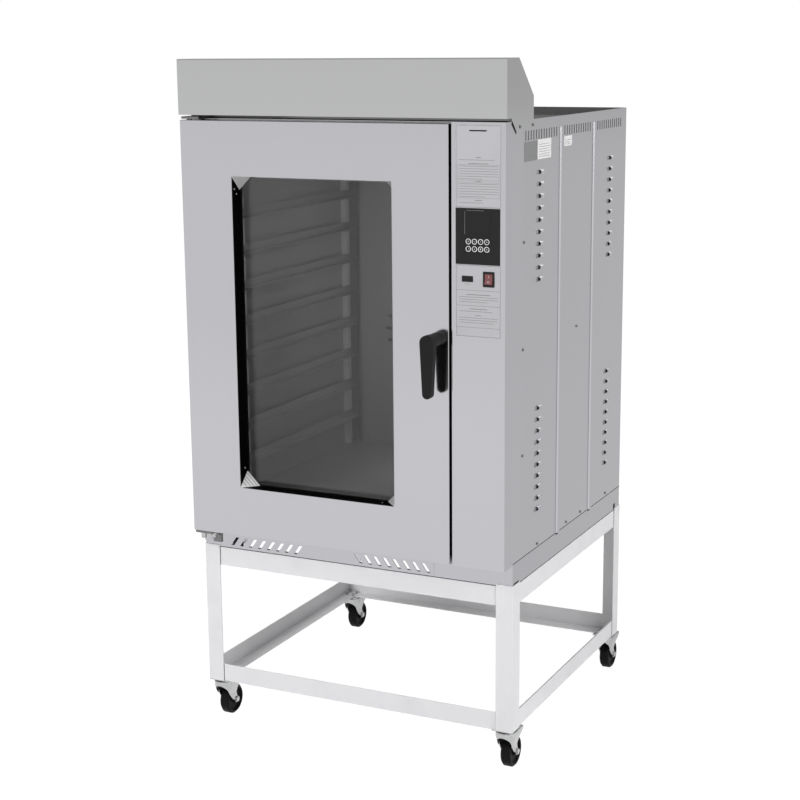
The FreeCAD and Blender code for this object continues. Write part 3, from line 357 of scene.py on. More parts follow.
LEVEL_GRAIN = (9.0, 9.0, 900.0)
UPRIGHT_GRAIN = (900.0, 900.0, 7.0)
CROSS_GRAIN = (700.0, 40.0, 60.0)
ORANGE_PEEL = (0.15, 0.00004)
THIN_PEEL = (0.1, 0.00003)
CAST_SKIN = (0.3, 0.0001)
FELT = (0.6, 0.002)
PRINT_GRAIN = 2400.0
PANEL_GRAIN = 2200.0
FRONT_TONE = (0.522, 0.515, 0.542, 1)
BASE_TONE = (0.5, 0.494, 0.522, 1)
PLAIN_SOCKETS = {"metallic": "Metallic", "alpha": "Alpha", "ior": "IOR", "specular": "Specular IOR Level"}
finishes = {}


def grey(value, warmth=0.0):
    return (value * (1 + warmth), value, value * (1 - warmth), 1)


def finish(name, effect, tone, shine, relief=None, values=None, **plain):
    """Keep a material made of one shared effect and plain shader numbers."""
    material = bpy.data.materials.new(name)
    material.use_nodes = True
    tree = material.node_tree
    shader = tree.nodes["Principled BSDF"]
    for key, value in plain.items():
        shader.inputs[PLAIN_SOCKETS[key]].default_value = value
    surface = node(tree, "ShaderNodeGroup", node_tree=EFFECTS[effect])
    for key, value in {"Tone": tone, "Shine": shine, **(values or {})}.items():
        surface.inputs[key].default_value = value
    tree.links.new(surface.outputs["Color"], shader.inputs["Base Color"])
    tree.links.new(surface.outputs["Roughness"], shader.inputs["Roughness"])
    if relief:
        strength, depth = relief
        bump = node(tree, "ShaderNodeBump", {
            "Height": surface.outputs["Height"], "Strength": strength, "Distance": depth,
        })
        tree.links.new(bump.outputs[0], shader.inputs["Normal"])
    finishes[name] = material


def steel(name, tone, shine, grain, streaks, patches, metallic=1.0):
    values = {"Grain": grain, "Streaks": streaks, "Patches": patches}
    finish(name, "sheet", tone, shine, values=values, metallic=metallic)


def painted(name, tone, shine, soil, relief=None, specular=0.5):
    finish(name, "paint", tone, shine, relief, {"Soil": soil}, specular=specular)


def plated(name, tone, shine, cells, relief=None):
    finish(name, "zinc", tone, shine, relief, {"Cells": cells}, metallic=1.0)


def moulded(name, tone, shine, size=1400.0, fade=0.2, specular=0.5):
    finish(name, "moulded", tone, shine, ORANGE_PEEL, {"Size": size, "Fade": fade}, specular=specular)


steel("front_steel", FRONT_TONE, 0.13, UPRIGHT_GRAIN, 0.03, 0.03)
steel("header_steel", grey(0.515, -0.005), 0.16, LEVEL_GRAIN, 0.03, 0.03)
steel("base_steel", BASE_TONE, 0.18, LEVEL_GRAIN, 0.03, 0.03)
steel("side_steel", FRONT_TONE, 0.2, UPRIGHT_GRAIN, 0.04, 0.04)
steel("louvre_steel", FRONT_TONE, 0.34, UPRIGHT_GRAIN, 0.04, 0.04, metallic=0.6)
steel("rear_steel", grey(0.5, -0.01), 0.26, UPRIGHT_GRAIN, 0.05, 0.06)
steel("chamber_steel", grey(0.5), 0.4, LEVEL_GRAIN, 0.08, 0.1, metallic=0.4)
# The rack posts' steel is the chamber's steel made lighter: painted light.
steel("post_steel_painted_light", grey(0.85), 0.4, UPRIGHT_GRAIN, 0.08, 0.1, metallic=0.2)
steel("gusset_steel", grey(0.9), 0.2, CROSS_GRAIN, 0.12, 0.1, metallic=0.4)
steel("flue_steel", grey(0.46), 0.3, LEVEL_GRAIN, 0.1, 0.1)
steel("hinge_steel", grey(0.2), 0.3, LEVEL_GRAIN, 0.08, 0.1)
painted("roof_grey", grey(0.098), 0.5, 0.12, ORANGE_PEEL, specular=0.2)
painted("stand_white", (0.835, 0.832, 0.85, 1), 0.32, 0.06, ORANGE_PEEL)
painted("reveal_black", grey(0.002), 0.5, 0.2, THIN_PEEL, specular=0.01)
painted("motor_grey", grey(0.2), 0.45, 0.05, CAST_SKIN)
# Grey of the strips behind the louvre and vent slots: painted shade seen through the slots.
painted("louvre_shade_grey", grey(0.33), 0.6, 0.3, specular=0.1)
painted("vent_shade_grey", grey(0.3, -0.01), 0.6, 0.2, specular=0.1)
# Dark finish of painted shade in gaps, seams, the slot behind the hinge and the ball races; it also draws
# the column's slit and the gussets' lines.
painted("dark_lines_and_painted_shade", grey(0.03), 0.6, 0.3, specular=0.1)
plated("zinc", grey(0.52, -0.005), 0.3, 0.22, THIN_PEEL)
plated("fitting_brass", (0.62, 0.43, 0.16, 1), 0.3, 0.1)
plated("screw_steel", grey(0.22), 0.4, 0.1)
moulded("wheel_black", grey(0.008), 0.5, 900.0, specular=0.08)
moulded("seal_rubber", grey(0.03), 0.55, 700.0)
moulded("handle_black", grey(0.009), 0.45, specular=0.18)
moulded("panel_black", grey(0.015), 0.4, PANEL_GRAIN, 0.1, specular=0.2)
moulded("key_black", grey(0.015), 0.4, PANEL_GRAIN, 0.1, specular=0.2)
moulded("rocker_red", (0.21, 0.065, 0.068, 1), 0.24, fade=0.1)
moulded("board_green", (0.02, 0.16, 0.06, 1), 0.4)
moulded("label_film", (0.525, 0.521, 0.545, 1), 0.35, PRINT_GRAIN, 0.03, specular=0.2)
moulded("rule_grey", grey(0.17), 0.45, PRINT_GRAIN, 0.1, specular=0.2)
moulded("legend_white", grey(0.88), 0.4, PRINT_GRAIN, 0.06)
moulded("plate_white", grey(0.82), 0.35, PRINT_GRAIN, 0.04, specular=0.3)
moulded("plate_grey", grey(0.23, -0.01), 0.4, PRINT_GRAIN, 0.06, specular=0.2)
finish("wool", "fibre", (0.62, 0.55, 0.36, 1), 0.95, FELT)
finish("tinted_glass", "glass", grey(0.02), 0.04, alpha=0.14, ior=2.0)

NODE_FINISHES = {
    "front_steel": ("door_skin", "control_column"),
    "base_steel": ("base_pan",),
    "header_steel": ("header_hood",),
    "side_steel": ("side_panel_left", "side_panel_right"),
    "rear_steel": ("rear_panel", "front_frame", "door_liner"),
    "roof_grey": ("roof_panel",),
    "stand_white": ("stand_legs", "stand_upper_rails", "stand_lower_rails"),
    "zinc": ("caster_bolts", "caster_plates", "caster_fork_*"),
    "wheel_black": ("caster_wheel_*",),
    "chamber_steel": ("chamber_*", "tray_runners", "fan_guard", "fan_wheel", "burner_tube"),
    "gusset_steel": ("corner_gussets",),
    "post_steel_painted_light": ("rack_posts",),
    "wool": ("insulation_jacket", "door_insulation"),
    "seal_rubber": ("door_gasket",),
    "reveal_black": ("window_reveal",),
    "tinted_glass": ("window_panes",),
    "handle_black": ("handle_lever",),
    "panel_black": ("keypad_panel", "port_cover", "rocker_frame"),
    "key_black": ("key_*",),
    "rocker_red": ("rocker_switch",),
    "board_green": ("controller_board",),
    "motor_grey": ("fan_motor",),
    "fitting_brass": ("gas_valve", "hinge_bushes"),
    "flue_steel": ("flue_spigot",),
    "hinge_steel": ("hinge_brackets", "latch_keeper", "latch_spindle"),
}


def dress_solids():
    """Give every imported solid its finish."""
    for name, patterns in NODE_FINISHES.items():
        for pattern in patterns:
            stem = pattern.rstrip("*")
            for solid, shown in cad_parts.items():
                if solid == pattern or (pattern.endswith("*") and solid.startswith(stem)):
                    shown.data.materials.clear()
                    shown.data.materials.append(finishes[name])


# Modelling helpers

def hold(piece):
    """Make one object the only selected and active one."""
    bpy.ops.object.select_all(action="DESELECT")
    piece.select_set(True)
    bpy.context.view_layer.objects.active = piece


def started(piece, scale=(1, 1, 1)):
    """Give a new primitive its size, and put its place and turn into its mesh."""
    piece.scale = scale
    hold(piece)
    bpy.ops.object.transform_apply(location=True, rotation=True, scale=True)
    return piece


def rod(radius, depth, sides, place, turn=(0, 0, 0), ends="NGON"):
    """Cylinder, to be worked on further; sizes in millimetres."""
    bpy.ops.object.select_all(action="DESELECT")
    bpy.ops.mesh.primitive_cylinder_add(
        vertices=sides, radius=radius * MM, depth=depth * MM, end_fill_type=ends,
        location=Vector(place) * MM, rotation=turn)
    return started(bpy.context.object)


def middle_of(part):
    """Mean place of a mesh part's corners."""
    return sum((corner.co for corner in part.verts), Vector()) / len(part.verts)


def open_edit(piece):
    hold(piece)
    bpy.ops.object.mode_set(mode="EDIT")
    bpy.ops.mesh.select_all(action="SELECT")


def close_edit():
    bpy.ops.object.mode_set(mode="OBJECT")


def pick(piece, kind, test):
    """In edit mode, select the edges or faces that pass a test."""
    bpy.ops.mesh.select_mode(type=kind)
    bpy.ops.mesh.select_all(action="DESELECT")
    mesh = bmesh.from_edit_mesh(piece.data)
    for part in {"EDGE": mesh.edges, "FACE": mesh.faces}[kind]:
        part.select_set(bool(test(part)))
    mesh.select_flush_mode()
    bmesh.update_edit_mesh(piece.data)


def cut_across(place, normal, **clear):
    """In edit mode, bisect the whole mesh."""
    bpy.ops.mesh.select_all(action="SELECT")
    bpy.ops.mesh.bisect(plane_co=place, plane_no=normal, **clear)


def apply_modifier(piece, kind, **settings):
    hold(piece)
    modifier = piece.modifiers.new(kind.lower(), kind)
    for key, value in settings.items():
        setattr(modifier, key, value)
    bpy.ops.object.modifier_apply(modifier=modifier.name)


def smooth(piece, angle=40):
    hold(piece)
    bpy.ops.object.shade_smooth_by_angle(angle=math.radians(angle))
    return piece


def soften(piece, width, angle=35):
    """Round off a piece's sharp edges."""
    apply_modifier(piece, "BEVEL", width=width * MM, segments=2, limit_method="ANGLE",
                   angle_limit=math.radians(angle))
    smooth(piece, 60)
    apply_modifier(piece, "WEIGHTED_NORMAL", keep_sharp=True)
    return piece


def join(pieces):
    hold(pieces[0])
    for piece in pieces:
        piece.select_set(True)
    if len(pieces) > 1:
        bpy.ops.object.join()
    return pieces[0]


def facing(place, out, up=UP):
    """Matrix that lays a template down with its +Z along out and its +Y upwards."""
    side = up.cross(out).normalized()
    turn = Matrix((side, out.cross(side), out)).transposed()
    return Matrix.Translation(place) @ turn.to_4x4()


def raised(height):
    """Matrix that lifts a flat form, in millimetres."""
    return Matrix.Translation((0, 0, height * MM))


def laid(piece, matrix):
    """Move a piece's mesh by a matrix."""
    piece.data.transform(matrix)
    return piece


def copies(template, matrices):
    """Copies of a template, each with its own mesh, joined into one piece; the template goes."""
    made = []
    for matrix in matrices:
        copy = bpy.data.objects.new(template.name, template.data.copy())
        bpy.context.scene.collection.objects.link(copy)
        made.append(laid(copy, matrix))
    bpy.data.objects.remove(template)
    return join(made)


def settle(piece, name, finish_name, body, replaced=()):
    """Name a finished piece, give it its finish, and say what it rides on and stands for."""
    piece.name = name
    piece.data.name = name
    piece.data.materials.clear()
    piece.data.materials.append(finishes[finish_name])
    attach(piece, body)
    if replaced:
        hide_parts(*replaced)
    return piece


# Forms that several pieces use, drawn in the XY plane with +Z outwards

def outline(x0, x1, y0, y1, corner=0.0):
    """Flat rectangle with rounded corners."""
    bpy.ops.object.select_all(action="DESELECT")
    bpy.ops.mesh.primitive_plane_add(size=1, location=((x0 + x1) / 2 * MM, (y0 + y1) / 2 * MM, 0))
    piece = started(bpy.context.object, ((x1 - x0) * MM, (y1 - y0) * MM, 1))
    if corner:
        open_edit(piece)
        bpy.ops.mesh.bevel(offset=corner * MM, segments=4, affect="VERTICES")
        close_edit()
    return piece


def thicken(piece, thickness):
    """Give a flat form its thickness, towards +Z."""
    apply_modifier(piece, "SOLIDIFY", thickness=thickness * MM, offset=1.0)
    return piece


def sheet(x0, x1, y0, y1, thickness, corner=0.0, holes=()):
    """Thin sheet with rounded corners and rectangular holes."""
    piece = outline(x0, x1, y0, y1, corner)
    open_edit(piece)
    for hole_x0, hole_x1, hole_y0, hole_y1 in holes:
        for x in (hole_x0, hole_x1):
            cut_across((x * MM, 0, 0), (1, 0, 0))
        for y in (hole_y0, hole_y1):
            cut_across((0, y * MM, 0), (0, 1, 0))
    for hole_x0, hole_x1, hole_y0, hole_y1 in holes:
        pick(piece, "FACE", lambda face: hole_x0 < middle_of(face).x / MM < hole_x1
             and hole_y0 < middle_of(face).y / MM < hole_y1)
        bpy.ops.mesh.delete(type="FACE")
    close_edit()
    return thicken(piece, thickness)


def hollowed(piece, line, thickness):
    """Keep only a line round the edge of a flat form."""
    open_edit(piece)
    bpy.ops.mesh.inset(thickness=line * MM, depth=0)
    bpy.ops.mesh.delete(type="FACE")
    close_edit()
    return thicken(piece, thickness)


def line_box(x0, x1, y0, y1, line, thickness, corner=0.0):
    return hollowed(outline(x0, x1, y0, y1, corner), line, thickness)


def disc(radius, sides, at=(0, 0), turn=0.0):
    """Flat disc or polygon."""
    bpy.ops.object.select_all(action="DESELECT")
    bpy.ops.mesh.primitive_circle_add(
        vertices=sides, radius=radius * MM, fill_type="NGON",
        location=(at[0] * MM, at[1] * MM, 0), rotation=(0, 0, math.radians(turn)))
    return started(bpy.context.object)


def stroke(length, width, thickness, at=(0, 0), turn=0.0):
    """Straight bar of a sign, with round ends."""
    bar = sheet(-length / 2, length / 2, -width / 2, width / 2, thickness, width * 0.45)
    spin = Matrix.Rotation(math.radians(turn), 4, "Z")
    return laid(bar, Matrix.Translation((at[0] * MM, at[1] * MM, 0)) @ spin)


def dab(radius, sides, thickness, at=(0, 0), turn=0.0):
    return thicken(disc(radius, sides, at, turn), thickness)


def ring(radius, line, thickness, sides=32):
    return hollowed(disc(radius, sides), line, thickness)


def rounded_copy(name, width):
    """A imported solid's mesh with its sharp edges rounded off."""
    piece = bpy.data.objects.new(name + "_rounded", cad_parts[name].data.copy())
    bpy.context.scene.collection.objects.link(piece)
    open_edit(piece)
    bpy.ops.mesh.remove_doubles(threshold=0.01 * MM)
    bpy.ops.mesh.dissolve_limited(angle_limit=math.radians(0.5))
    close_edit()
    return soften(piece, width)


def on_sides(x0, x1, z0, z1, thickness, depth=0.0):
    """The same thin strip on the right side and on the left; x runs along the oven's depth."""
    strips = []
    for out, plane, side in ((OUT_RIGHT, RIGHT, 1), (OUT_LEFT, LEFT, -1)):
        y0, y1 = sorted((side * x0, side * x1))
        matrix = facing(Vector((plane, 0, 0)), out) @ raised(-depth)
        strips.append(laid(sheet(y0, y1, z0, z1, thickness), matrix))
    return strips


# Label films of the control column, with plain rules in place of print

COLUMN = facing(Vector((column_low.x, FACE, 0)), OUT_FRONT)
LAY = 0.02
FILM_LEFT, FILM_RIGHT = 14.5, 150.0
FILM_GAP = 0.8
FILM_TOP_DROP = 7.0
FILM_LOW = 1322.0
FILM_THICKNESS = 0.25
FILM_CORNER = 2.0
PRINT_THICKNESS = 0.08
RULE_WIDTH = 1.0
HEADING_WIDTH = 1.5
FRAME_LINE = 0.8
FRAME_INSET = 1.5
TEXT_LEFT, TEXT_RIGHT = 25.0, 140.0
TEXT_PITCH = 6.9
LOWER_RULES = (1453.0, 1410.0, 1349.0)
PORT_RULE_INSET = 8.0
PORT_RULE_DROP = 6.0
BLOCK_LINE = 0.6
BLOCK_MARGIN = 4.0
BLOCK_TOP_SHARE, BLOCK_END_SHARE = 0.4, 0.6
SLIT = (55.0, 107.0, 1888.0, 1892.0)
SLIT_THICKNESS = 0.1
SLIT_CORNER = 1.5

# Each block of plain rules: height of its short heading, length of the heading, rows, length of the last row
UPPER_BLOCKS = (
    (1818.0, 14.0, 1, 105.0),
    (1801.0, 59.0, 6, 70.0),
    (1753.0, 16.0, 6, 80.0),
    (1701.5, 22.0, 1, 72.0),
)
LOWER_BLOCKS = ((1441.0, 72.0, 3, 85.0), (1401.0, 53.0, 1, 100.0), (1383.0, 18.0, 3, 105.0))
FRAMED_BLOCKS = UPPER_BLOCKS[1:3]


def on_column(low, high):
    """A box of the frame as x0, x1, z0, z1 in the column's own millimetres."""
    left = column_low.x
    return ((low.x - left) / MM, (high.x - left) / MM, low.z / MM, high.z / MM)


def rule(x0, x1, y, width=RULE_WIDTH):
    return sheet(x0, x1, y - width / 2, y + width / 2, PRINT_THICKNESS)


def block_of_rules(top, heading, rows, last):
    """Rules that stand for a block of print: a short heavy one, then rows, the last one shorter."""
    middle = (TEXT_LEFT + TEXT_RIGHT) / 2
    made = [rule(middle - heading / 2, middle + heading / 2, top, HEADING_WIDTH)]
    for i in range(rows):
        end = TEXT_RIGHT if i < rows - 1 else TEXT_LEFT + last
        made.append(rule(TEXT_LEFT, end, top - (i + 1) * TEXT_PITCH))
    return made


def column_films():
    """Two printed films, above and below the keypad, the lower one cut out round the port and the rocker."""
    top = ROOF / MM - FILM_TOP_DROP
    port = on_column(*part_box("port_cover"))
    switch = on_column(*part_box("rocker_frame"))
    keypad = on_column(keypad_low, keypad_high)
    gap = FILM_GAP
    holes = [(x0 - gap, x1 + gap, z0 - gap, z1 + gap) for x0, x1, z0, z1 in (port, switch)]
    upper_low = keypad[3] + gap
    lower_top = keypad[2] - gap
    upper = sheet(FILM_LEFT, FILM_RIGHT, upper_low, top, FILM_THICKNESS, FILM_CORNER, [SLIT])
    lower = sheet(FILM_LEFT, FILM_RIGHT, FILM_LOW, lower_top, FILM_THICKNESS, FILM_CORNER, holes)
    on_metal = COLUMN @ raised(LAY)
    settle(laid(upper, on_metal), "label_film_upper", "label_film", "cabinet")
    settle(laid(lower, on_metal), "label_film_lower", "label_film", "cabinet")
    x0, x1 = FILM_LEFT + FRAME_INSET, FILM_RIGHT - FRAME_INSET
    made = [
        line_box(x0, x1, low + FRAME_INSET, high - FRAME_INSET, FRAME_LINE, PRINT_THICKNESS, FILM_CORNER)
        for low, high in ((upper_low, top), (FILM_LOW, lower_top))
    ]
    made += [rule(x0, x1, y, FRAME_LINE) for y in LOWER_RULES]
    for block in UPPER_BLOCKS + LOWER_BLOCKS:
        made += block_of_rules(*block)
    made.append(rule(port[0] + PORT_RULE_INSET, port[1] - PORT_RULE_INSET, port[2] - PORT_RULE_DROP))
    for heading_at, _, rows, _ in FRAMED_BLOCKS:
        low = heading_at - (rows + BLOCK_END_SHARE) * TEXT_PITCH
        high = heading_at - BLOCK_TOP_SHARE * TEXT_PITCH
        made.append(line_box(TEXT_LEFT - BLOCK_MARGIN, TEXT_RIGHT + BLOCK_MARGIN, low, high, BLOCK_LINE,
                             PRINT_THICKNESS))
    on_film = COLUMN @ raised(FILM_THICKNESS + LAY)
    settle(laid(join(made), on_film), "label_rules", "rule_grey", "cabinet")
    slit = sheet(*SLIT, SLIT_THICKNESS, SLIT_CORNER)
    settle(laid(slit, on_metal), "column_slit", "dark_lines_and_painted_shade", "cabinet")


# Keypad: display lens, border, rings and signs on the keys

LENS = (42.0, 118.0, 1606.0, 1675.0)
LENS_THICKNESS = 0.8
LENS_CORNER = 2.0
LENS_EDGE = 0.5
LENS_EDGE_ANGLE = 60
BORDER_LOW = 1545.0
BORDER_GAP = 1.0
BORDER_LINE = 0.8
BORDER_THICKNESS = 0.35
GLINT_INSET, GLINT_END = 0.6, 1.5
GLINT_THICKNESS = 0.03
GLINT_FOOT, GLINT_HEAD = 2.0, 4.0
GLINT_LEFT, GLINT_RIGHT = 6.0, 18.0
SIGN = 0.12
SIGN_LAY = 0.01
SIGN_SHARE = 0.66
KEY_RING, KEY_RING_LINE = 7.8, 1.75
SUN_RAYS = (90.0, 210.6, 329.4)
SUN_REACH = 2.9


def keypad_overlay():
    """Display lens with bevelled edges, painted highlights along its left and top edges, and the embossed
    border round the keys.
    """
    x0, x1, z0, z1 = LENS
    front = COLUMN @ Matrix.Translation((0, 0, FACE - keypad_low.y)) @ raised(SIGN_LAY)
    lens = soften(sheet(*LENS, LENS_THICKNESS, LENS_CORNER), LENS_EDGE, LENS_EDGE_ANGLE)
    settle(laid(lens, front), "display_lens", "panel_black", "cabinet")
    border = line_box(x0, x1, BORDER_LOW, z0 - BORDER_GAP, BORDER_LINE, BORDER_THICKNESS, LENS_CORNER)
    settle(laid(border, front), "keypad_border", "panel_black", "cabinet")
    # Light grey strips on the lens's left and top edges are painted highlights.
    glints = [
        sheet(x0 + GLINT_INSET, x0 + GLINT_END, z0 + GLINT_FOOT, z1 - GLINT_HEAD, GLINT_THICKNESS),
        sheet(x0 + GLINT_LEFT, x1 - GLINT_RIGHT, z1 - GLINT_END, z1 - GLINT_INSET, GLINT_THICKNESS),
    ]
    on_lens = front @ raised(LENS_THICKNESS)
    settle(laid(join(glints), on_lens), "lens_edge_highlights", "plate_grey", "cabinet")


def sun_ray(angle):
    """One pointed ray of the sixth sign."""
    turn = math.radians(angle)
    return dab(1.5, 3, SIGN, (SUN_REACH * math.cos(turn), SUN_REACH * math.sin(turn)), angle)


def key_signs():
    """The eight generic signs, one for each key, left to right and upper row first."""
    return (
        [stroke(7.0, 1.2, SIGN, (0, 1.2)), stroke(7.0, 1.2, SIGN, (0, -1.2))],
        [stroke(4.2, 1.1, SIGN, (-1.4, -0.4), -42), stroke(4.2, 1.1, SIGN, (1.4, -0.4), 42)],
        [stroke(4.2, 1.1, SIGN, (-1.4, 0.4), 42), stroke(4.2, 1.1, SIGN, (1.4, 0.4), -42)],
        [dab(2.1, 20, SIGN)],
        [stroke(4.6, 1.1, SIGN, (0, 1.8), 90), stroke(3.6, 1.1, SIGN, (1.4, -0.2))],
        [dab(1.2, 16, SIGN)] + [sun_ray(angle) for angle in SUN_RAYS],
        [dab(2.6, 20, SIGN, (0, 0.9)), stroke(2.4, 1.5, SIGN, (0, -2.6))],
        [dab(3.0, 3, SIGN, (0, -0.4))],
    )


def key_marks():
    """Printed ring and sign on each key."""
    for number, sign in enumerate(key_signs(), 1):
        low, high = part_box(f"key_{number}")
        small = laid(join(sign), Matrix.Diagonal((SIGN_SHARE, SIGN_SHARE, 1, 1)))
        mark = join([ring(KEY_RING, KEY_RING_LINE, SIGN), small])
        place = Vector(((low.x + high.x) / 2, low.y - SIGN_LAY * MM, (low.z + high.z) / 2))
        settle(laid(mark, facing(place, OUT_FRONT)), f"key_mark_{number}", "legend_white",
               f"key_body_{number}")


# Rocker switch

ROCKER_EDGE = 0.7
ROCKER_BAR = (6.0, 1.1)
ROCKER_RING = (3.2, 0.9)


def front_half(name, upper):
    """Middle and normal of the upper or lower half of a rocker's front."""
    place, normal, area = Vector(), Vector(), 0.0
    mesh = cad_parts[name].data
    level = sum(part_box(name), Vector()).z / 2
    for face in mesh.polygons:
        if face.normal.y < -0.8 and (face.center.z > level) == upper:
            place += face.center * face.area
            normal += face.normal * face.area
            area += face.area
    return place / area, normal.normalized()


def rocker():
    """Red rocker with soft edges, a bar on one half and a ring on the other."""
    cap = rounded_copy("rocker_switch", ROCKER_EDGE)
    settle(cap, "rocker_cap", "rocker_red", "rocker", ["rocker_switch"])
    marks = []
    for upper, mark in ((True, stroke(*ROCKER_BAR, SIGN, turn=90)), (False, ring(*ROCKER_RING, SIGN))):
        place, normal = front_half("rocker_switch", upper)
        marks.append(laid(mark, facing(place + normal * LAY * MM, normal)))
    settle(join(marks), "rocker_marks", "label_film", "rocker")


# Bare plates on the right side; each has its name, finish, edges and number of plain rules

SIDE = facing(Vector((RIGHT, 0, 0)), OUT_RIGHT)
PLATES = (
    ("side_plate_grey", "plate_grey", (-371.0, -273.0, 1798.0, 1853.0), 0),
    ("side_plate_white", "plate_white", (-271.0, -165.0, 1799.0, 1854.0), 6),
    ("side_plate_small", "plate_white", (-58.0, 7.0, 1823.0, 1852.0), 3),
)
PLATE_THICKNESS = 0.4
PLATE_CORNER = 3.0
PLATE_MARGIN = 9.0
PLATE_RULE = 1.1
PLATE_RAGGED = 7.0


def side_plates():
    """Three plain plates, two of them with plain rules."""
    rules = []
    for name, finish_name, (x0, x1, y0, y1), rows in PLATES:
        plate = sheet(x0, x1, y0, y1, PLATE_THICKNESS, PLATE_CORNER)
        settle(laid(plate, SIDE), name, finish_name, "cabinet")
        for i in range(rows):
            height = y0 + (i + 1) * (y1 - y0) / (rows + 2)
            end = x1 - PLATE_MARGIN - PLATE_RAGGED * (i % 2)
            rules.append(rule(x0 + PLATE_MARGIN, end, height, PLATE_RULE))
    on_plate = SIDE @ raised(PLATE_THICKNESS + SIGN_LAY)
    settle(laid(join(rules), on_plate), "side_plate_rules", "rule_grey", "cabinet")


# Screws of the panels, and rivets of the window; places on a side are from the door's face and the floor

SCREW_RADIUS, SCREW_HEIGHT = 4.2, 2.4
SCREW_CROWN = 0.35
RECESS_SHARE, RECESS_WIDTH, RECESS_FLOOR = 0.6, 0.9, 0.45
RIVET_RADIUS = 3.2
RIVET_FLATNESS = 0.45
SIDE_SCREWS = (
    (257, 663), (504, 664), (631, 664), (872, 665),
    (133, 1270), (134, 960), (136, 1575), (574, 1270),
)
TAB_SCREWS = ((93, 1897), (189, 1898))
REAR_SCREW_INSET = 22.0
REAR_SCREW_ROWS = 5
REAR_SCREW_MARGIN = 0.04
WINDOW_LEFT, WINDOW_RIGHT, WINDOW_LOW = -347.0, 175.0, 803.0
REVEAL_RIVETS_LEFT = ((-490.8, 1707.6), (-478.2, 1692.6), (-475.7, 859.0))
REVEAL_RIVETS_LOW = ((121.7, -478.6), (150.0, -471.1))


def pan_screw():
    """Pan-head screw with a cross recess."""
    screw = rod(SCREW_RADIUS, SCREW_HEIGHT, 20, (0, 0, SCREW_HEIGHT / 2))
    open_edit(screw)
    pick(screw, "EDGE", lambda edge: middle_of(edge).z > 0.9 * SCREW_HEIGHT * MM)
    bpy.ops.mesh.bevel(offset=SCREW_CROWN * SCREW_HEIGHT * MM, segments=3, affect="EDGES")
    close_edit()
    reach = RECESS_SHARE * SCREW_RADIUS
    for turn in (0, 90):
        tool = thicken(outline(-reach, reach, -RECESS_WIDTH / 2, RECESS_WIDTH / 2), SCREW_HEIGHT)
        laid(tool, raised(RECESS_FLOOR * SCREW_HEIGHT) @ Matrix.Rotation(math.radians(turn), 4, "Z"))
        apply_modifier(screw, "BOOLEAN", operation="DIFFERENCE", object=tool, solver="EXACT")
        bpy.data.objects.remove(tool)
    return smooth(screw, 35)


def dome_rivet():
    """Low domed rivet head."""
    bpy.ops.object.select_all(action="DESELECT")
    bpy.ops.mesh.primitive_uv_sphere_add(segments=16, ring_count=8, radius=RIVET_RADIUS * MM)
    rivet = started(bpy.context.object, (1, 1, RIVET_FLATNESS))
    open_edit(rivet)
    cut_across((0, 0, 0), (0, 0, 1), clear_inner=True, use_fill=True)
    close_edit()
    return smooth(rivet)


def fasteners():
    """Screws on both sides, on the header's tabs and down the rear."""
    header_low, header_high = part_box("header_hood")
    places = []
    for out, plane, tab in ((OUT_RIGHT, RIGHT, header_high.x), (OUT_LEFT, LEFT, header_low.x)):
        places += [facing(Vector((plane, FACE + y * MM, z * MM)), out) for y, z in SIDE_SCREWS]
        places += [facing(Vector((tab, FACE + y * MM, z * MM)), out) for y, z in TAB_SCREWS]
    for x in (LEFT + REAR_SCREW_INSET * MM, RIGHT - REAR_SCREW_INSET * MM):
        for i in range(REAR_SCREW_ROWS):
            share = REAR_SCREW_MARGIN + (1 - 2 * REAR_SCREW_MARGIN) * i / (REAR_SCREW_ROWS - 1)
            places.append(facing(Vector((x, REAR, BASE_TOP + share * (ROOF - BASE_TOP))), OUT_REAR))
    settle(copies(pan_screw(), places), "panel_screws", "screw_steel", "cabinet")


def reveal_rivets():
    """Rivets that hold the gussets in the window's reveal."""
    places = [facing(Vector((WINDOW_LEFT, y, z)) * MM, OUT_RIGHT) for y, z in REVEAL_RIVETS_LEFT]
    places += [facing(Vector((x, y, WINDOW_LOW)) * MM, UP, OUT_REAR) for x, y in REVEAL_RIVETS_LOW]
    settle(copies(dome_rivet(), places), "reveal_rivets", "zinc", "door")


# Louvres: smooth caps over the scoops of the side panels, and grey strips of painted shade close behind
# their slots

LOUVRE_COLUMNS = (228.0, 836.0)
LOUVRE_ROWS = (118.9, 804.0)
LOUVRE_COUNT = 10
LOUVRE_PITCH = 34.0
LOUVRE_MOUTH = 22.0
LOUVRE_RADIUS = 7.25
LOUVRE_STRAIGHT = 11.0
LOUVRE_SIDES = 20
# Each step of the closing tail: how far it goes on, and the share of the width that is left
LOUVRE_NOSE = ((7.0, 0.96), (7.0, 0.92), (4.0, 0.8), (3.0, 0.7), (2.0, 0.5))
LOUVRE_SHEET = 0.6
LOUVRE_SLOT = 47.0
SHADE_STRIP_SHEET = 0.8
LOUVRE_SHADE_DEPTH = 2.9
LOUVRE_SHADE_FRONT, LOUVRE_SHADE_REAR, LOUVRE_SHADE_END = 6.0, 4.0, 12.0


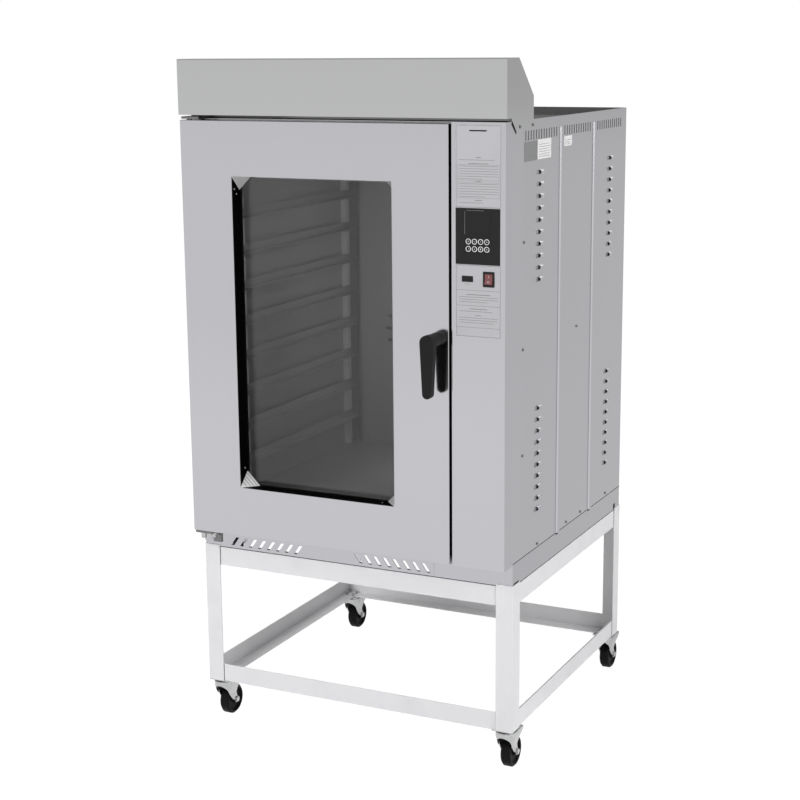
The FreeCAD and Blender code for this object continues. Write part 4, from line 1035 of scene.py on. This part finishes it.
def louvre_cap():
    """Half-round hood, open at its mouth, that closes in to a rounded tail; its axis runs along +X."""
    end = LOUVRE_MOUTH + LOUVRE_STRAIGHT
    cap = rod(LOUVRE_RADIUS, LOUVRE_STRAIGHT, LOUVRE_SIDES, (LOUVRE_MOUTH + LOUVRE_STRAIGHT / 2, 0, 0),
              (0, math.pi / 2, 0), "NOTHING")
    open_edit(cap)
    pick(cap, "EDGE", lambda edge: middle_of(edge).x > (end - 0.1) * MM)
    for step, share in LOUVRE_NOSE:
        bpy.ops.mesh.extrude_region_move(TRANSFORM_OT_translate={"value": (step * MM, 0, 0)})
        bpy.ops.transform.resize(value=(1, share, share), center_override=(end * MM, 0, 0))
    bpy.ops.mesh.edge_collapse()
    cut_across((0, 0, 0), (0, 0, 1), clear_inner=True)
    bpy.ops.mesh.select_all(action="SELECT")
    bpy.ops.mesh.normals_make_consistent(inside=False)
    close_edit()
    apply_modifier(cap, "SOLIDIFY", thickness=LOUVRE_SHEET * MM, offset=-1.0)
    return smooth(cap, 60)


def louvre_caps():
    """All the caps of one side, then of the other."""
    for name, out, plane in (("right", OUT_RIGHT, RIGHT), ("left", OUT_LEFT, LEFT)):
        upright = UP if out == OUT_RIGHT else -UP
        places = []
        for column in LOUVRE_COLUMNS:
            for row in LOUVRE_ROWS:
                for i in range(LOUVRE_COUNT):
                    height = BASE_TOP + (row + i * LOUVRE_PITCH) * MM
                    places.append(facing(Vector((plane, FACE + column * MM, height)), out, upright))
        settle(copies(louvre_cap(), places), f"louvre_caps_{name}", "louvre_steel", "cabinet")


def louvre_slot_shades():
    """A grey strip of painted shade behind each row of louvres."""
    made = []
    for column in LOUVRE_COLUMNS:
        y = FACE / MM + column
        for row in LOUVRE_ROWS:
            low = BASE_TOP / MM + row - LOUVRE_SHADE_END
            high = low + (LOUVRE_COUNT - 1) * LOUVRE_PITCH + 2 * LOUVRE_SHADE_END
            made += on_sides(y - LOUVRE_SHADE_FRONT, y + LOUVRE_SLOT + LOUVRE_SHADE_REAR, low, high,
                             SHADE_STRIP_SHEET, LOUVRE_SHADE_DEPTH)
    settle(join(made), "louvre_slot_shades", "louvre_shade_grey", "cabinet")


# Grey strips of painted shade close behind the vent slots under the roof

RIBS = (-92.5, 195.5)
RIB_WIDTH = 26.0
PANEL_FRONT = -380.5
PANEL_REAR_INSET = 8.0
VENT_DROP = 57.0
VENT_HEIGHT = 27.0
VENT_MARGIN = 6.0
VENT_SHADE_DEPTH = 3.2


def vent_slot_shades():
    """A grey strip of painted shade in each of the three bays between the ribs."""
    made = []
    low = ROOF / MM - VENT_DROP
    starts = (PANEL_FRONT, RIBS[0] + RIB_WIDTH, RIBS[1] + RIB_WIDTH)
    ends = (RIBS[0], RIBS[1], REAR / MM - PANEL_REAR_INSET)
    for start, end in zip(starts, ends):
        made += on_sides(start + VENT_MARGIN, end - VENT_MARGIN, low - VENT_MARGIN,
                         low + VENT_HEIGHT + VENT_MARGIN, SHADE_STRIP_SHEET, VENT_SHADE_DEPTH)
    settle(join(made), "vent_slot_shades", "vent_shade_grey", "cabinet")


# Painted shade: dark strips where seams and gaps fall in shadow

SEAM = 2.4
SEAM_PROUD = 0.06
LEG_FLANGE = 54.0
LEG_SHEET = 3.0
LEG_SEAM = 1.8
RAIL_EDGE = 1.6
CORNER_FRONT, CORNER_REAR = 8.0, 4.0
CORNER_LAP, CORNER_HEIGHT = 6.0, 5.0
NOTCH_HALF, NOTCH_LOW, NOTCH_HIGH = 9.0, 2.0, 22.0
RIB_FOOT_INSET, RIB_FOOT_DROP = 6.0, 7.0
UPPER_RAIL = (523.0, 582.0)
LOWER_RAIL = (136.0, 192.0)
TAB_EDGE = ((-465.9, 1910.1), (-431.4, 1880.1))
TAB_SEAM = 9.0


def seams():
    """Painted shade: dark strips for the shadow gaps between panels, base, stand and legs, along the lower
    rails' top edges, at the ribs' feet and along the header's tab.
    """
    front = base_low.y / MM
    rear = REAR / MM
    low = STAND_TOP / MM
    base_top = BASE_TOP / MM
    first_leg = front - LEG_SHEET + LEG_FLANGE
    last_leg = rear + LEG_SHEET - LEG_FLANGE
    inner = RIGHT / MM + LEG_SHEET - LEG_FLANGE
    corner = low + CORNER_LAP
    strips = [
        (front, rear, base_top - SEAM / 2, base_top + SEAM / 2),
        (first_leg, last_leg, low, low + SEAM),
        (front + CORNER_FRONT, first_leg - CORNER_REAR, corner, corner + CORNER_HEIGHT),
        (last_leg - NOTCH_HALF, last_leg + NOTCH_HALF, low + NOTCH_LOW, low + NOTCH_HIGH),
        (first_leg, last_leg, LOWER_RAIL[1] - RAIL_EDGE, LOWER_RAIL[1]),
    ]
    strips += [(rib, rib + RIB_WIDTH - RIB_FOOT_INSET, base_top - RIB_FOOT_DROP, base_top) for rib in RIBS]
    for z0, z1 in (UPPER_RAIL, LOWER_RAIL):
        strips.append((first_leg, first_leg + LEG_SEAM, z0, z1))
        strips.append((last_leg - LEG_SEAM, last_leg, z0, z1))
    made = []
    for strip in strips:
        made += on_sides(*strip, SEAM_PROUD)
    across = facing(Vector((0, base_low.y, 0)), OUT_FRONT)
    made.append(laid(sheet(-inner, inner, low, low + SEAM, SEAM_PROUD), across))
    for z0, z1 in (UPPER_RAIL, LOWER_RAIL):
        made.append(laid(sheet(-inner, -inner + LEG_SEAM, z0, z1, SEAM_PROUD), across))
        made.append(laid(sheet(inner - LEG_SEAM, inner, z0, z1, SEAM_PROUD), across))
    (y0, z0), (y1, z1) = TAB_EDGE
    tab_length = math.hypot(y1 - y0, z1 - z0)
    tab_turn = math.degrees(math.atan2(z1 - z0, y1 - y0))
    tab = stroke(tab_length, TAB_SEAM, SEAM_PROUD, ((y0 + y1) / 2, (z0 + z1) / 2), tab_turn)
    made.append(laid(tab, SIDE))
    settle(join(made), "shadow_seams", "dark_lines_and_painted_shade", "cabinet")


# Fine lines across the lower gussets of the window

DOOR_SHEET = 1.5
GUSSET_LEG = 42.0
GUSSET_LIFT = 3.05
GUSSET_LINE_LIFT = 0.1
GUSSET_LINE_SHORT = 1.5
GUSSET_LINE_THICKNESS = 0.05
# Each gusset: its corner in x, the way it runs, and its lines, as shares of the leg with their widths
GUSSET_LINES = (
    (WINDOW_LEFT, 1, ((0.36, 1.5), (0.55, 1.3), (0.72, 1.5), (0.9, 1.3))),
    (WINDOW_RIGHT, -1, ((0.4, 2.6), (0.62, 2.6), (0.84, 2.6))),
)


def gusset_lines():
    """Thin dark lines that run across a gusset, parallel to its edge on the glass."""
    face = FACE / MM + DOOR_SHEET
    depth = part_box("window_panes")[0].y / MM - face
    made = []
    for x, across, lines in GUSSET_LINES:
        corner = Vector((x, face - GUSSET_LIFT, WINDOW_LOW))
        along = Vector((across * GUSSET_LEG, depth, 0))
        upward = Vector((0, depth, GUSSET_LEG))
        out = along.cross(upward).normalized()
        out = out if out.y < 0 else -out
        run = (upward - along).normalized()
        for share, width in lines:
            middle = (corner + share * (along + upward) / 2 + GUSSET_LINE_LIFT * out) * MM
            length = share * (upward - along).length - GUSSET_LINE_SHORT
            bar = stroke(length, width, GUSSET_LINE_THICKNESS)
            made.append(laid(bar, facing(middle, out, out.cross(run))))
    settle(join(made), "gusset_lines", "dark_lines_and_painted_shade", "door")


# Lower hinge: light sleeves on its pin and stud, and a plain cover on the outer part of its flange

HINGE_SLEEVE = 0.35
HINGE_SLEEVE_LOW, HINGE_SLEEVE_HIGH = 619.0, 638.6
HINGE_SLEEVE_OVER = 0.3
HINGE_SLEEVE_ROUND = 4.0
HINGE_PLACES = ((-504.0, -475.5, 8.0), (-473.5, -466.5, 9.0))
HINGE_COVER = (-520.0, -488.0, 599.5, 638.5)
HINGE_COVER_THICKNESS = 0.3
HINGE_COVER_CORNER = 1.0
HINGE_FLANGE = 5.0


def hinge_sleeves():
    """Round-ended sleeves, and the cover."""
    made = []
    height = HINGE_SLEEVE_HIGH - HINGE_SLEEVE_LOW
    middle = HINGE_SLEEVE_LOW + height / 2 - HINGE_SLEEVE_OVER
    for x, y, radius in HINGE_PLACES:
        sleeve = rod(radius + HINGE_SLEEVE, height + 2 * HINGE_SLEEVE_OVER, 28, (x, y, middle))
        open_edit(sleeve)
        pick(sleeve, "EDGE", lambda edge: middle_of(edge).z < HINGE_SLEEVE_LOW * MM)
        bpy.ops.mesh.bevel(offset=HINGE_SLEEVE_ROUND * MM, segments=4, affect="EDGES")
        close_edit()
        made.append(smooth(sleeve, 50))
    settle(join(made), "hinge_sleeves", "zinc", "cabinet")
    cover = sheet(*HINGE_COVER, HINGE_COVER_THICKNESS, HINGE_COVER_CORNER)
    place = facing(Vector((0, base_low.y - HINGE_FLANGE * MM, 0)), OUT_FRONT)
    settle(laid(cover, place), "hinge_flange_cover", "base_steel", "cabinet")


# Painted shade: dark rings in the gaps between the caster plates and the forks

RACE_RADIUS = 29.4
RACE_LINE = 2.6
RACE_HEIGHT = 4.6
RACE_LOW = 127.2
RACE_SIDES = 40
SWIVELS = ((-489.0, -409.5), (489.0, -409.5), (-489.0, 480.5), (489.0, 480.5))


def caster_race_shadows():
    """A dark ring of painted shade on each caster."""
    places = [Matrix.Translation(Vector((x, y, RACE_LOW)) * MM) for x, y in SWIVELS]
    race = ring(RACE_RADIUS, RACE_LINE, RACE_HEIGHT, RACE_SIDES)
    settle(copies(race, places), "caster_race_shadows", "dark_lines_and_painted_shade", "cabinet")


# Shade seen through the first air slots beside the hinge

SLOT_SHADE = (-424.0, -386.0, 588.0, 626.0)
SLOT_SHADE_THICKNESS = 0.5
SLOT_SHADE_CORNER = 2.0
SLOT_SHADE_DEPTH = 7.0


def slot_shade():
    """Dark plate a little behind the base's front."""
    shade = sheet(*SLOT_SHADE, SLOT_SHADE_THICKNESS, SLOT_SHADE_CORNER)
    place = facing(Vector((0, base_low.y + SLOT_SHADE_DEPTH * MM, 0)), OUT_FRONT)
    settle(laid(shade, place), "slot_shade", "dark_lines_and_painted_shade", "cabinet")


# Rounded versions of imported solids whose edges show; each has its node, body, finish and edge radius

ROUNDED = (
    ("handle_lever", "handle", "handle_black", 1.2),
    ("port_cover", "cabinet", "panel_black", 0.6),
    ("rocker_frame", "cabinet", "panel_black", 0.6),
    ("hinge_brackets", "cabinet", "hinge_steel", 0.8),
)


def rounded_pieces():
    """Each rounded piece stands for its node."""
    for name, body, finish_name, width in ROUNDED:
        settle(rounded_copy(name, width), name + "_soft", finish_name, body, [name])


photo_camera()
studio_world()
studio_floor()
studio_lights()
dress_solids()
column_films()
keypad_overlay()
key_marks()
rocker()
side_plates()
fasteners()
reveal_rivets()
louvre_caps()
louvre_slot_shades()
vent_slot_shades()
seams()
gusset_lines()
hinge_sleeves()
caster_race_shadows()
slot_shade()
rounded_pieces()

bpy.context.scene.view_settings.view_transform = "Standard"
